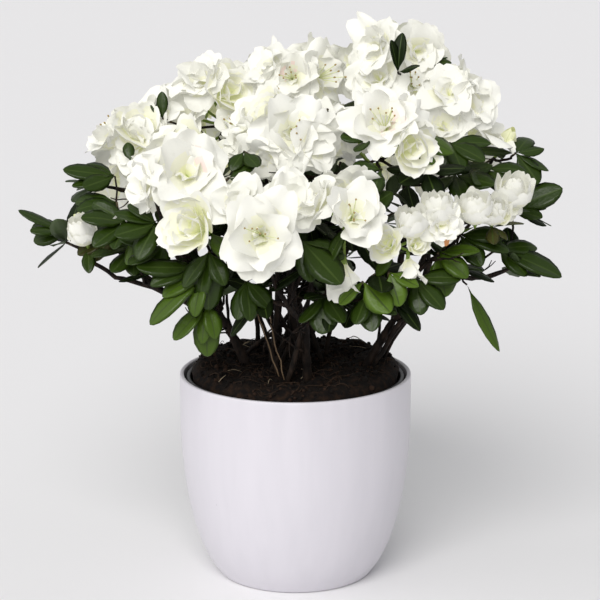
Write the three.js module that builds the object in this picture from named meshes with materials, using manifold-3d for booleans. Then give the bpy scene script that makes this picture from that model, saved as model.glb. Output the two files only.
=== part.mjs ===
// A potted white azalea: a round ceramic cover pot, the grower's thin pot and root ball in it, five
// woody stems, their boughs, and the clumps of blossom and leaves that make up the crown.
// Millimetres, +Z up, +X to the right and -Y to the front. The origin is the centre of the pot's
// flat underside.
import * as THREE from "three";
import { mergeVertices } from "three/addons/utils/BufferGeometryUtils.js";
import Module from "manifold-3d";

const wasm = await Module();
wasm.setup();

// ---- Driving dimensions ----------------------------------------------------------------------

const GAP = 0.4; // clearance between pieces that touch

const POT_HEIGHT = 134;
const POT_RADIUS = 75;
const POT_FOOT_RADIUS = 45; // where the side's curve would meet the ground
const POT_CURVE_HEIGHT = 102; // above this the side is straight
const POT_CURVE_POWER = 1.85;
const POT_FOOT_ROUNDING = 3;
const POT_WALL = 3;
const POT_FLOOR = 5;
const POT_SIDES = 40;

const LINER_TOP = 132.5; // the grower's pot stands inside the cover pot, just below its rim
const LINER_TOP_RADIUS = 69.2;
const LINER_FOOT_RADIUS = 46;
const LINER_WALL = 1.4;
const LINER_LIP = 1.8; // how far the rolled lip stands out
const LINER_LIP_HEIGHT = 4;
const LINER_SIDES = 32;

const SOIL_LEVEL = 138; // mean height of the root ball's top
const SOIL_RISE = 7; // how much higher it is at the back and sides than at the front
const SOIL_ROUGHNESS = 1.3;
const SOIL_SIDES = 28;

const STEM_FOOT = SOIL_LEVEL - 2.5; // the stems' flat cut, just under the loose top of the peat
const LIMB_SIDES = 6;
const LIMB_STEPS = 4;

// A clump's half sizes: outwards from the pot's axis, across, and upwards.
const BLOOM_CLUMP = [36, 38, 28];
const BUD_CLUMP = [27, 30, 22];
const LEAF_CLUMP = [27, 28, 17];
const LEAF_TIP = [24, 17, 12];
const HANGING_LEAVES = [10, 14, 23];

const UNEVENNESS = 0.09;

const COLOURS = {
  pot: { color: 0xe9e7ee, roughness: 0.35 },
  liner: { color: 0x121212, roughness: 0.45 },
  soil: { color: 0x1c120c, roughness: 0.95 },
  bark: { color: 0x3a2a20, roughness: 0.85 },
  blossom: { color: 0xf7f6ee, roughness: 0.6 },
  leaves: { color: 0x2c4a20, roughness: 0.4 },
};

// ---- Where things are ------------------------------------------------------------------------

// A point by its direction round the pot's axis (0 is right, 90 back), its distance from the axis
// and its height above the ground.
function around(azimuth, reach, height) {
  const a = THREE.MathUtils.degToRad(azimuth);
  return new THREE.Vector3(reach * Math.cos(a), reach * Math.sin(a), height);
}

// One clump: [name, azimuth, reach, height, half sizes, look].
const CLUMPS = [
  // the dome's upper tier, highest at the right
  ["bloom_crest", 22, 73, 341, [32, 34, 24], "blossom"],
  ["bloom_top", 90, 26, 317, BLOOM_CLUMP, "blossom"],
  ["bloom_top_left", 147, 59, 303, BLOOM_CLUMP, "blossom"],
  ["bloom_left_shoulder", 172, 98, 278, [31, 38, 27], "blossom"],
  ["bloom_right_shoulder", 4, 98, 301, [31, 36, 28], "blossom"],
  ["bloom_middle", 262, 38, 296, BLOOM_CLUMP, "blossom"],
  ["bloom_upper_right", 322, 70, 291, [34, 36, 28], "blossom"],
  ["bloom_upper_left", 222, 88, 272, [32, 37, 29], "blossom"],
  // the lower tier along the front
  ["bloom_front_left", 225, 116, 242, [27, 29, 20], "blossom"],
  ["bloom_front_middle", 258, 104, 245, [30, 37, 29], "blossom"],
  ["bloom_front_right", 290, 96, 250, [31, 35, 27], "blossom"],
  ["bud_right_inner", 318, 112, 246, BUD_CLUMP, "blossom"],
  ["bud_right_outer", 340, 130, 258, [26, 29, 20], "blossom"],
  ["bud_left", 191, 125, 238, [22, 24, 18], "blossom"],
  // the leafy rim and the leaves that hang under it
  ["leaf_left_upper", 172, 129, 259, [21, 23, 12], "leaves"],
  ["leaf_left_tip", 184, 149, 225, LEAF_TIP, "leaves"],
  ["leaf_left_lower", 226, 92, 201, [24, 24, 20], "leaves"],
  ["leaf_left_hanging", 234, 82, 177, [13, 17, 21], "leaves"],
  ["leaf_front_left", 256, 84, 207, [22, 26, 17], "leaves"],
  ["leaf_front_right", 286, 84, 204, [22, 26, 20], "leaves"],
  ["leaf_right_lower", 310, 94, 207, LEAF_CLUMP, "leaves"],
  ["leaf_right_under", 336, 112, 218, [22, 26, 20], "leaves"],
  ["leaf_right_hanging", 346, 122, 181, HANGING_LEAVES, "leaves"],
  ["leaf_right_tip_low", 352, 143, 211, LEAF_TIP, "leaves"],
  ["leaf_right_tip", 1, 144, 248, LEAF_TIP, "leaves"],
  ["leaf_right_tip_high", 8, 135, 278, [18, 22, 18], "leaves"],
];

// The back is a regular round of the same clumps, also higher at the right: [name, count, first
// and last azimuth, reach, height, half sizes, look].
const BACK_LEAN = 14;
const BACK_TIERS = [
  ["bloom_back_dome", 3, 46, 122, 82, 302, BLOOM_CLUMP, "blossom"],
  ["bloom_back_rim", 5, 27, 149, 111, 253, [31, 37, 30], "blossom"],
  ["leaf_back", 2, 62, 118, 86, 210, [30, 36, 17], "leaves"],
];
for (const [name, count, first, last, reach, height, size, look] of BACK_TIERS)
  for (let i = 0; i < count; i++) {
    const azimuth = first + ((last - first) * i) / (count - 1);
    const lean = BACK_LEAN * Math.cos(THREE.MathUtils.degToRad(azimuth));
    CLUMPS.push([`${name}_${i + 1}`, azimuth, reach, height + lean, size, look]);
  }

// Each stem: its foot and its fork as [azimuth, reach, height], its radii there, and the clumps
// that its boughs carry.
const STEMS = {
  middle: {
    foot: [20, 3],
    fork: [250, 8, 186],
    radii: [4.3, 3.1],
    carries: ["bloom_top", "bloom_middle", "bloom_back_dome_2"],
  },
  left: {
    foot: [193, 30],
    fork: [194, 50, 176],
    radii: [3.4, 2.6],
    carries: ["bud_left", "bloom_left_shoulder", "bloom_upper_left", "bloom_top_left", "bloom_front_left"],
  },
  right: {
    foot: [352, 45],
    fork: [350, 64, 171],
    radii: [3.3, 2.5],
    carries: ["bud_right_outer", "bloom_right_shoulder", "bloom_crest", "bud_right_inner"],
  },
  front: {
    foot: [285, 30],
    fork: [278, 47, 178],
    radii: [2.7, 2.2],
    carries: ["bloom_front_middle", "bloom_front_right"],
  },
  back: {
    foot: [96, 30],
    fork: [92, 50, 180],
    radii: [3.4, 2.5],
    carries: ["bloom_back_rim_2", "bloom_back_rim_4"],
  },
};
const STEM_FLARE = 1.2; // how much wider a stem is at its very foot
const BOUGH_TIP_RADIUS = 1.7;
const BOUGH_SAG = 0.12; // how far a bough bows below its straight line, as a share of its length

// ---- Solids ----------------------------------------------------------------------------------

// A closed three.js geometry as a manifold-3d solid.
function solid(geometry) {
  const bare = geometry.index ? geometry.toNonIndexed() : geometry.clone();
  bare.deleteAttribute("normal");
  bare.deleteAttribute("uv");
  const merged = mergeVertices(bare, 1e-3);
  return new wasm.Manifold(
    new wasm.Mesh({
      numProp: 3,
      vertProperties: merged.attributes.position.array,
      triVerts: new Uint32Array(merged.index.array),
    }),
  );
}

// The largest of a solid's bodies, for what a cut leaves behind.
function largestBody(shape) {
  return shape.decompose().reduce((best, body) => (body.volume() > best.volume() ? body : best));
}

function geometryOf(shape) {
  const mesh = shape.getMesh();
  const geometry = new THREE.BufferGeometry();
  geometry.setAttribute("position", new THREE.BufferAttribute(new Float32Array(mesh.vertProperties), 3));
  geometry.setIndex(new THREE.BufferAttribute(new Uint32Array(mesh.triVerts), 1));
  geometry.computeVertexNormals();
  return geometry;
}

// A lathed profile of [radius, height] points, turned so that its axis is +Z.
function lathe(profile, sides) {
  const points = profile.map(([radius, height]) => new THREE.Vector2(radius, height));
  return new THREE.LatheGeometry(points, sides).rotateX(Math.PI / 2);
}

// The pot's outer radius at a height: a superellipse quarter up to the straight part.
function potRadius(height) {
  if (height >= POT_CURVE_HEIGHT) return POT_RADIUS;
  const below = 1 - height / POT_CURVE_HEIGHT;
  const bulge = (1 - below ** POT_CURVE_POWER) ** (1 / POT_CURVE_POWER);
  return POT_FOOT_RADIUS + (POT_RADIUS - POT_FOOT_RADIUS) * bulge;
}

function coverPot() {
  const outer = [
    [0, 0],
    [potRadius(POT_FOOT_ROUNDING) - POT_FOOT_ROUNDING, 0],
    [potRadius(POT_FOOT_ROUNDING) - POT_FOOT_ROUNDING * 0.3, POT_FOOT_ROUNDING * 0.3],
  ];
  for (const share of [0.03, 0.08, 0.16, 0.27, 0.4, 0.58, 0.8]) {
    const height = POT_FOOT_ROUNDING + share * (POT_HEIGHT - POT_FOOT_ROUNDING);
    outer.push([potRadius(height), height]);
  }
  const edge = POT_WALL / 3; // the rim's rounding
  outer.push([POT_RADIUS, POT_HEIGHT - edge], [POT_RADIUS - edge, POT_HEIGHT]);
  const inner = [[POT_RADIUS - POT_WALL + edge, POT_HEIGHT], [POT_RADIUS - POT_WALL, POT_HEIGHT - edge]];
  for (const share of [0.6, 0.35, 0.18, 0.07]) {
    const height = POT_FLOOR + share * (POT_HEIGHT - POT_FLOOR);
    inner.push([potRadius(height) - POT_WALL, height]);
  }
  inner.push([potRadius(POT_FLOOR) - POT_WALL - 1, POT_FLOOR], [0, POT_FLOOR]);
  return lathe([...outer, ...inner], POT_SIDES);
}

// The liner's outer radius at a height: a plain cone.
function linerRadius(height) {
  const foot = POT_FLOOR + GAP;
  const share = (height - foot) / (LINER_TOP - foot);
  return LINER_FOOT_RADIUS + (LINER_TOP_RADIUS - LINER_FOOT_RADIUS) * share;
}

function growersPot() {
  const foot = POT_FLOOR + GAP;
  const lipFoot = LINER_TOP - LINER_LIP_HEIGHT;
  const profile = [
    [0, foot],
    [linerRadius(foot), foot],
    [linerRadius(lipFoot), lipFoot],
    [linerRadius(lipFoot) + LINER_LIP, lipFoot],
    [linerRadius(LINER_TOP) + LINER_LIP, LINER_TOP],
    [linerRadius(LINER_TOP) - LINER_WALL, LINER_TOP],
    [linerRadius(foot + LINER_WALL) - LINER_WALL, foot + LINER_WALL],
    [0, foot + LINER_WALL],
  ];
  return lathe(profile, LINER_SIDES);
}

// The root ball's top at a point: lowest at the front, with soft lumps.
function soilHeight(x, y) {
  const back = Math.tanh((y + 25) / 40);
  const side = Math.abs(x) / LINER_TOP_RADIUS;
  const lumps = Math.sin(x / 9 + 1) * Math.cos(y / 11) + 0.6 * Math.sin(x / 5 - y / 6);
  return SOIL_LEVEL + SOIL_RISE * (0.5 * back + 0.5 * side) + SOIL_ROUGHNESS * lumps;
}

function rootBall() {
  const foot = POT_FLOOR + LINER_WALL + 2 * GAP;
  const edge = linerRadius(LINER_TOP) - LINER_WALL - GAP;
  const profile = [
    [0, foot],
    [linerRadius(foot) - LINER_WALL - GAP, foot],
    [edge - 0.2, LINER_TOP],
    [edge - 0.6, SOIL_LEVEL - 3],
  ];
  for (const share of [0.92, 0.72, 0.5, 0.28]) profile.push([edge * share, SOIL_LEVEL]);
  profile.push([0, SOIL_LEVEL]);
  const geometry = lathe(profile, SOIL_SIDES);
  const place = geometry.attributes.position;
  for (let i = 0; i < place.count; i++)
    if (place.getZ(i) > SOIL_LEVEL - 1) place.setZ(i, soilHeight(place.getX(i), place.getY(i)));
  return geometry;
}

// A limb from one end of a curve to the other: a cylinder whose rings are set along it, thinning
// evenly. A flare widens its foot.
function limb(curve, footRadius, tipRadius, flare = 0) {
  const geometry = new THREE.CylinderGeometry(1, 1, 1, LIMB_SIDES, LIMB_STEPS);
  const place = geometry.attributes.position;
  const frames = curve.computeFrenetFrames(LIMB_STEPS);
  const point = new THREE.Vector3();
  for (let i = 0; i < place.count; i++) {
    const along = place.getY(i) + 0.5;
    const step = Math.round(along * LIMB_STEPS);
    const radius = THREE.MathUtils.lerp(footRadius, tipRadius, along) + flare * (1 - along) ** 6;
    point.copy(curve.getPointAt(along));
    point.addScaledVector(frames.normals[step], -place.getX(i) * radius);
    point.addScaledVector(frames.binormals[step], place.getZ(i) * radius);
    if (flare && step === 0) point.z = curve.getPointAt(0).z; // the flat cut
    place.setXYZ(i, point.x, point.y, point.z);
  }
  return geometry;
}

// An uneven clump: a faceted ball stretched to its half sizes, with its corners pushed in and out.
function clump([name, azimuth, reach, height, size, look], order, spare = 0) {
  const isBlossom = look === "blossom";
  const geometry = isBlossom ? new THREE.OctahedronGeometry(1, 3) : new THREE.IcosahedronGeometry(1, 1);
  const place = geometry.attributes.position;
  const v = new THREE.Vector3();
  for (let i = 0; i < place.count; i++) {
    v.fromBufferAttribute(place, i);
    const waves =
      Math.sin(3.1 * v.x + 1.7 * order) * Math.sin(2.7 * v.y + 2.3 * order) +
      0.7 * Math.sin(4.3 * v.z + 5.1 * v.x + order);
    v.multiply(new THREE.Vector3(...size)).multiplyScalar(1 + UNEVENNESS * waves);
    v.setLength(v.length() + spare);
    place.setXYZ(i, v.x, v.y, v.z);
  }
  geometry.rotateZ(THREE.MathUtils.degToRad(azimuth));
  const centre = around(azimuth, reach, height);
  return geometry.translate(centre.x, centre.y, centre.z);
}

// ---- The model -------------------------------------------------------------------------------

const azalea = new THREE.Group();

function add(name, geometry, look) {
  const mesh = new THREE.Mesh(geometry, new THREE.MeshStandardMaterial({ ...COLOURS[look], metalness: 0 }));
  mesh.name = name;
  azalea.add(mesh);
}

add("pot", coverPot(), "pot");
add("grower_pot", growersPot(), "liner");

// Clumps give way to the ones before them in the list.
const grownClumps = new Map();
CLUMPS.forEach((row, order) => {
  let body = solid(clump(row, order));
  for (const before of grownClumps.values()) body = body.subtract(before.grown);
  body = largestBody(body);
  grownClumps.set(row[0], { grown: solid(clump(row, order, GAP)), row });
  add(row[0], geometryOf(body), row[5]);
});

// Every limb is cut back from the clumps and from the limbs before it, and its foot piece is kept.
const cutters = [...grownClumps.values()].map(({ grown }) => grown);
let soil = solid(rootBall());

function addLimb(name, curve, footRadius, tipRadius, flare) {
  let body = solid(limb(curve, footRadius, tipRadius, flare));
  for (const cutter of cutters) body = body.subtract(cutter);
  cutters.push(solid(limb(curve, footRadius + GAP, tipRadius + GAP, flare)));
  add(name, geometryOf(largestBody(body)), "bark");
}

for (const [name, { foot, fork, radii }] of Object.entries(STEMS)) {
  const start = around(...foot, STEM_FOOT);
  const end = around(...fork);
  const middle = start.clone().lerp(end, 0.45).setZ(STEM_FOOT + 0.5 * (end.z - STEM_FOOT));
  const curve = new THREE.CatmullRomCurve3([start, middle, end]);
  addLimb(`stem_${name}`, curve, radii[0], radii[1], STEM_FLARE);
  const below = curve.clone();
  below.points = [start.clone().setZ(STEM_FOOT - GAP), middle, end];
  soil = soil.subtract(solid(limb(below, radii[0] + GAP, radii[1] + GAP, STEM_FLARE)));
}
add("root_ball", geometryOf(largestBody(soil)), "soil");

for (const [name, { fork, radii, carries }] of Object.entries(STEMS)) {
  carries.forEach((clumpName, i) => {
    const [, azimuth, reach, height] = grownClumps.get(clumpName).row;
    const start = around(...fork);
    const end = around(azimuth, reach, height);
    const middle = start.clone().lerp(end, 0.5);
    middle.z -= BOUGH_SAG * start.distanceTo(end);
    middle.multiply(new THREE.Vector3(1.08, 1.08, 1));
    const curve = new THREE.CatmullRomCurve3([start, middle, end]);
    addLimb(`bough_${name}_${i + 1}`, curve, radii[1] * 0.85, BOUGH_TIP_RADIUS, 0);
  });
}

export default azalea;
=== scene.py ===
# %% [markdown]
# # A white azalea in a ceramic cover pot
# A florist's azalea is a small evergreen shrub: a handful of bare, dark stems that fork low down,
# and over them a dome so full of double flowers that few leaves show. It stands in the grower's
# thin black pot, which is dropped into a glazed cover pot. The scene is built from the ground up:
# light first, then the pots and the peat, the wood, the flowers, the leaves that stand under them,
# and last the twigs that join all of these to the wood.

# %% Load the frame
import math

import bpy
import numpy as np
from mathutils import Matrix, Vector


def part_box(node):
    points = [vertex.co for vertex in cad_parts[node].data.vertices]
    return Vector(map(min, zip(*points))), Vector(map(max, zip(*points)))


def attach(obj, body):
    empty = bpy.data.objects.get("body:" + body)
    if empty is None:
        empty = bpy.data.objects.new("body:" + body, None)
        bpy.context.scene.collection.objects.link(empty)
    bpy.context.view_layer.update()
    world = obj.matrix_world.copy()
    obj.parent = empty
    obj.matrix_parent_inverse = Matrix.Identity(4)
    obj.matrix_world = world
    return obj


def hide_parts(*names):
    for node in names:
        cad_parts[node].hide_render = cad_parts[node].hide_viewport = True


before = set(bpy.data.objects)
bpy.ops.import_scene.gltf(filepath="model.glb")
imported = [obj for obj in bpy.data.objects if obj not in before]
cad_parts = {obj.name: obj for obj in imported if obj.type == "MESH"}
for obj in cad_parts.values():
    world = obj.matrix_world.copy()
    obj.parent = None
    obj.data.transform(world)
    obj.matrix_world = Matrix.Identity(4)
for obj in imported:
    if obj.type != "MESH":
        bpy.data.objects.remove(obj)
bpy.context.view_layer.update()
MM = 0.001
NODES = sorted(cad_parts)

# %% [markdown]
# ## Camera and light
# A plant on a table is looked at from a little above. A long lens from 1.5 m keeps the pot's sides
# from leaning. The floor runs on behind the plant as a plain backdrop. A soft key lamp from the
# front and above, a little from the left, models the petals. A softer one from the left side and
# the pale surroundings fill the shadows.

# %% The camera
VIEW_DISTANCE = 1.5
VIEW_PITCH = math.radians(13.5)
VIEW_LENS = 139.8
AIM = (0.003, 0.0, 0.1815)

bpy.ops.object.select_all(action="DESELECT")
bpy.ops.object.camera_add(
    location=(
        AIM[0],
        AIM[1] - VIEW_DISTANCE * math.cos(VIEW_PITCH),
        AIM[2] + VIEW_DISTANCE * math.sin(VIEW_PITCH),
    ),
    rotation=(math.pi / 2 - VIEW_PITCH, 0, 0),
)
camera = bpy.context.active_object
camera.name = "view_camera"
camera.data.lens = VIEW_LENS
camera.data.sensor_width = 36
camera.data.clip_end = 50
bpy.context.scene.camera = camera
print("camera at", [round(c, 3) for c in camera.location])

# %% Lamps and surroundings
KEY_STRENGTH = 2.3
FILL_STRENGTH = 0.85
KEY_SOFTNESS = math.radians(38)
FILL_SOFTNESS = math.radians(70)
SKY_STRENGTH = 0.48
SKY_COLOUR = (0.97, 0.98, 1.0, 1)


def soft_lamp(name, strength, softness, turn):
    """A distant lamp that shines straight down until it is turned, by angles in degrees."""
    bpy.ops.object.light_add(type="SUN", rotation=[math.radians(a) for a in turn])
    lamp = bpy.context.active_object
    lamp.name = name
    lamp.data.energy = strength
    lamp.data.angle = softness
    lamp.data.color = (1.0, 0.985, 0.965)


soft_lamp("key_lamp", KEY_STRENGTH, KEY_SOFTNESS, (50, -14, 0))
soft_lamp("fill_lamp", FILL_STRENGTH, FILL_SOFTNESS, (20, -68, 0))

world = bpy.data.worlds.new("studio")
bpy.context.scene.world = world
world.use_nodes = True
world.node_tree.nodes["Background"].inputs["Color"].default_value = SKY_COLOUR
world.node_tree.nodes["Background"].inputs["Strength"].default_value = SKY_STRENGTH
bpy.context.scene.view_settings.view_transform = "Standard"
print("key lamp", KEY_STRENGTH, "fill lamp", FILL_STRENGTH, "sky", SKY_STRENGTH)


# %% Shader nodes
def add_node(material, kind, **values):
    """A new shader node with some sockets set. A socket's name has underscores for its spaces."""
    node = material.node_tree.nodes.new(kind)
    for socket, value in values.items():
        node.inputs[socket.replace("_", " ")].default_value = value
    return node


def two_tone(material, low, low_colour, high, high_colour):
    """A ramp from one colour, up to a low value, to another, from a high value on."""
    ramp = material.node_tree.nodes.new("ShaderNodeValToRGB")
    start, end = ramp.color_ramp.elements
    start.position, end.position = low, high
    start.color, end.color = (*low_colour, 1), (*high_colour, 1)
    return ramp


# %% A material with a plain colour and a bump
def plain_material(name, colour, roughness, bump=0.0, grain=300.0, specular=0.5):
    """A Principled material of one colour, with fine noise as bump. Grain is in waves per metre."""
    material = bpy.data.materials.new(name)
    material.use_nodes = True
    shader = material.node_tree.nodes["Principled BSDF"]
    shader.inputs["Base Color"].default_value = (*colour, 1)
    shader.inputs["Roughness"].default_value = roughness
    shader.inputs["Specular IOR Level"].default_value = specular
    if bump:
        place = add_node(material, "ShaderNodeTexCoord")
        noise = add_node(material, "ShaderNodeTexNoise", Scale=grain, Detail=3)
        relief = add_node(material, "ShaderNodeBump", Strength=bump, Distance=1 * MM)
        links = material.node_tree.links
        links.new(place.outputs["Object"], noise.inputs["Vector"])
        links.new(noise.outputs["Fac"], relief.inputs["Height"])
        links.new(relief.outputs["Normal"], shader.inputs["Normal"])
    return material


# %% The floor
FLOOR_SIZE = 24

bpy.ops.mesh.primitive_plane_add(size=FLOOR_SIZE, location=(0, 0, 0))
floor = bpy.context.active_object
floor.name = "studio_floor"
floor.data.materials.append(plain_material("pale_floor", (0.80, 0.795, 0.805), 0.8))
print("floor", FLOOR_SIZE, "m square")

# %% [markdown]
# ## The cover pot
# A slip-cast pot: one shell of even thickness with a rounded lip, under a white satin glaze. It is
# made as a potter's profile is drawn. A circle is extruded and resized ring by ring up the outside,
# over the lip and down the inside, so every size comes from one formula for the side's curve.

# %% Rings by extrusion
def raise_rings(name, profile, sides):
    """Extrudes a disc through (radius, height) rings, whose last disc closes it, and smooths it."""
    first_radius, first_height = profile[0]
    bpy.ops.object.select_all(action="DESELECT")
    bpy.ops.mesh.primitive_circle_add(
        vertices=sides, radius=first_radius, fill_type="NGON", location=(0, 0, first_height)
    )
    piece = bpy.context.active_object
    piece.name = name
    bpy.ops.object.transform_apply(location=True, rotation=True, scale=True)
    bpy.ops.object.mode_set(mode="EDIT")
    bpy.ops.mesh.select_all(action="SELECT")
    radius, height = first_radius, first_height
    for next_radius, next_height in profile[1:]:
        bpy.ops.mesh.extrude_region_move(TRANSFORM_OT_translate={"value": (0, 0, next_height - height)})
        share = next_radius / radius
        bpy.ops.transform.resize(value=(share, share, 1), center_override=(0, 0, next_height))
        radius, height = next_radius, next_height
    bpy.ops.mesh.select_all(action="SELECT")
    bpy.ops.mesh.normals_make_consistent(inside=False)
    bpy.ops.object.mode_set(mode="OBJECT")
    smooth = piece.modifiers.new("smooth", "SUBSURF")
    smooth.levels = smooth.render_levels = 1
    bpy.ops.object.modifier_apply(modifier="smooth")
    bpy.ops.object.shade_smooth()
    return piece


def corner(radius, height, size, start, end, steps=3):
    """Points round a quarter corner of a profile, from one compass angle in degrees to another."""
    angles = [math.radians(start + (end - start) * i / steps) for i in range(steps + 1)]
    return [(radius + size * math.cos(a), height + size * math.sin(a)) for a in angles]


# %% The pot's profile
POT_LOW, POT_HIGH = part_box("pot")
POT_RADIUS = (POT_HIGH.x - POT_LOW.x) / 2
POT_HEIGHT = POT_HIGH.z
POT_WALL = 3 * MM
FOOT_SHARE = 0.6  # of the rim's radius, where the side's curve meets the ground
CURVE_SHARE = 0.76  # of the height: above it the side is straight
CURVE_POWER = 1.85
LIP = 1.1 * MM
FOOT_ROUNDING = 3 * MM


def side_radius(height):
    """The pot's outer radius at a height."""
    below = max(0.0, 1 - height / (POT_HEIGHT * CURVE_SHARE))
    bulge = (1 - below**CURVE_POWER) ** (1 / CURVE_POWER)
    return POT_RADIUS * (FOOT_SHARE + (1 - FOOT_SHARE) * bulge)


foot_radius = side_radius(FOOT_ROUNDING)
outer_heights = [FOOT_ROUNDING + (POT_HEIGHT - LIP - FOOT_ROUNDING) * t for t in
                 (0.02, 0.05, 0.1, 0.17, 0.26, 0.37, 0.5, 0.65, 0.8, 0.93, 0.985)]
profile = [(foot_radius * 0.5, 0), (foot_radius - FOOT_ROUNDING, 0)]
profile += corner(foot_radius - FOOT_ROUNDING, FOOT_ROUNDING, FOOT_ROUNDING, -75, -10, 2)
profile += [(side_radius(h), h) for h in outer_heights]
profile += corner(POT_RADIUS - LIP, POT_HEIGHT - LIP, LIP, 10, 90)
profile += corner(POT_RADIUS - POT_WALL + LIP, POT_HEIGHT - LIP, LIP, 110, 180, 2)
profile += [(side_radius(h) - POT_WALL, h) for h in (0.1, 0.07, 0.04, 0.02, 0.008)]
profile += [(foot_radius * 0.6, 5 * MM)]
cover_pot = raise_rings("cover_pot", profile, 96)
print("cover pot", [round(d, 4) for d in cover_pot.dimensions])

# %% [markdown]
# ### Satin glaze
# The glaze is white with a breath of lavender, thinner and a little greyer in faint upright
# streaks. It is smooth but not a mirror, and dusty fingers and knocks have left a few specks. The
# streaks and specks are noise on the pot's own coordinates, so they stay put from every side.

# %% The glaze
def glaze_material():
    material = plain_material("satin_glaze", (0.8, 0.79, 0.83), 0.38)
    shader = material.node_tree.nodes["Principled BSDF"]
    shader.inputs["Coat Weight"].default_value = 0.25
    shader.inputs["Coat Roughness"].default_value = 0.3
    place = add_node(material, "ShaderNodeTexCoord")
    stretch = add_node(material, "ShaderNodeMapping", Scale=(1, 1, 0.12))
    streaks = add_node(material, "ShaderNodeTexNoise", Scale=90, Detail=5)
    specks = add_node(material, "ShaderNodeTexVoronoi", Scale=38)
    dots = two_tone(material, 0.028, (0.35, 0.33, 0.36), 0.04, (1, 1, 1))
    tint = two_tone(material, 0.35, (0.605, 0.587, 0.634), 0.65, (0.63, 0.61, 0.658))
    blend = add_node(material, "ShaderNodeMix")
    blend.data_type = "RGBA"
    blend.blend_type = "MULTIPLY"
    blend.inputs["Factor"].default_value = 1
    uneven = add_node(material, "ShaderNodeMapRange", To_Min=0.32, To_Max=0.46)
    waves = add_node(material, "ShaderNodeTexNoise", Scale=45)
    relief = add_node(material, "ShaderNodeBump", Strength=0.12, Distance=0.6 * MM)
    links = material.node_tree.links
    links.new(place.outputs["Object"], stretch.inputs["Vector"])
    links.new(stretch.outputs["Vector"], streaks.inputs["Vector"])
    links.new(place.outputs["Object"], specks.inputs["Vector"])
    links.new(place.outputs["Object"], waves.inputs["Vector"])
    links.new(streaks.outputs["Fac"], tint.inputs["Fac"])
    links.new(specks.outputs["Distance"], dots.inputs["Fac"])
    links.new(tint.outputs["Color"], blend.inputs["A"])
    links.new(dots.outputs["Color"], blend.inputs["B"])
    links.new(blend.outputs["Result"], shader.inputs["Base Color"])
    links.new(streaks.outputs["Fac"], uneven.inputs["Value"])
    links.new(uneven.outputs["Result"], shader.inputs["Roughness"])
    links.new(waves.outputs["Fac"], relief.inputs["Height"])
    links.new(relief.outputs["Normal"], shader.inputs["Normal"])
    return material


cover_pot.data.materials.append(glaze_material())
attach(cover_pot, "root")
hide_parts("pot")
print("glazed", cover_pot.name)

# %% [markdown]
# ## The grower's pot
# Only the rolled lip of the black pot shows, a dark line inside the white rim. It is the same kind
# of profile, thinner and straight-sided, in slightly shiny moulded plastic.

# %% The grower's pot
INNER_LOW, INNER_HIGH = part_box("grower_pot")
INNER_RADIUS = (INNER_HIGH.x - INNER_LOW.x) / 2
LIP_OUT = 1.8 * MM
INNER_WALL = 1.4 * MM
INNER_FOOT = 46 * MM
low, high = INNER_LOW.z, INNER_HIGH.z
inner_top = INNER_RADIUS - LIP_OUT
widening, rise = inner_top - INNER_FOOT, high - low
profile = [(INNER_FOOT * 0.5, low), (INNER_FOOT - 1 * MM, low), (INNER_FOOT, low + 1 * MM)]
profile += [(INNER_FOOT + widening * t, low + rise * t) for t in (0.3, 0.6, 0.9, 0.96)]
profile += [(INNER_RADIUS - 0.3 * MM, high - 4 * MM), (INNER_RADIUS, high - 3.5 * MM)]
profile += [(INNER_RADIUS, high - 0.6 * MM), (INNER_RADIUS - 0.6 * MM, high)]
profile += [(inner_top - INNER_WALL + 0.4 * MM, high), (inner_top - INNER_WALL, high - 0.6 * MM)]
profile += [(inner_top - INNER_WALL - 2 * MM, high - 12 * MM), (INNER_FOOT - INNER_WALL, low + 4 * MM)]
profile += [(INNER_FOOT * 0.5, low + INNER_WALL)]
grower_pot = raise_rings("black_grower_pot", profile, 64)
grower_pot.data.materials.append(plain_material("black_plastic", (0.012, 0.012, 0.013), 0.38, 0.2, 900))
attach(grower_pot, "root")
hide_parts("grower_pot")
print("grower's pot", [round(d, 4) for d in grower_pot.dimensions])

# %% [markdown]
# ## The root ball
# Peat that has been watered for months: nearly black, matted with fine roots, lumpy, and higher at
# the back and the sides where it was pressed in. A disc is inset ring by ring, subdivided, and pushed
# up and down by clouds of two sizes. The crumbs, fibres and pale roots on it are small meshes.

# %% The lie of the peat
PEAT_LOW, PEAT_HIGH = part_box("root_ball")
PEAT_RADIUS = (PEAT_HIGH.x - PEAT_LOW.x) / 2
PEAT_LEVEL = POT_HEIGHT + 4 * MM
PEAT_FOOT = 44 * MM
print("peat", round(2 * PEAT_RADIUS, 4), "across at", round(PEAT_LEVEL, 4))


def peat_height(x, y):
    """The height of the peat's top: low at the front, higher at the back, falling at the edge."""
    x, y = x / MM, y / MM
    lumps = np.sin(x / 9 + 1) * np.cos(y / 11) + 0.6 * np.sin(x / 5 - y / 6)
    slope = 3.3 * np.tanh((y + 25) / 40) + 3.3 * np.abs(x) / 68
    edge = np.clip(np.hypot(x, y) * MM / PEAT_RADIUS - 0.88, 0, 1) / 0.12
    return PEAT_LEVEL + (slope + 1.2 * lumps - 7 * edge**2) * MM


def clouds(name, size):
    """Cloud noise of a size, for a displacement."""
    texture = bpy.data.textures.new(name, "CLOUDS")
    texture.noise_scale = size
    texture.noise_depth = 3
    return texture


# %% The peat
PEAT_RINGS = 22

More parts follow.
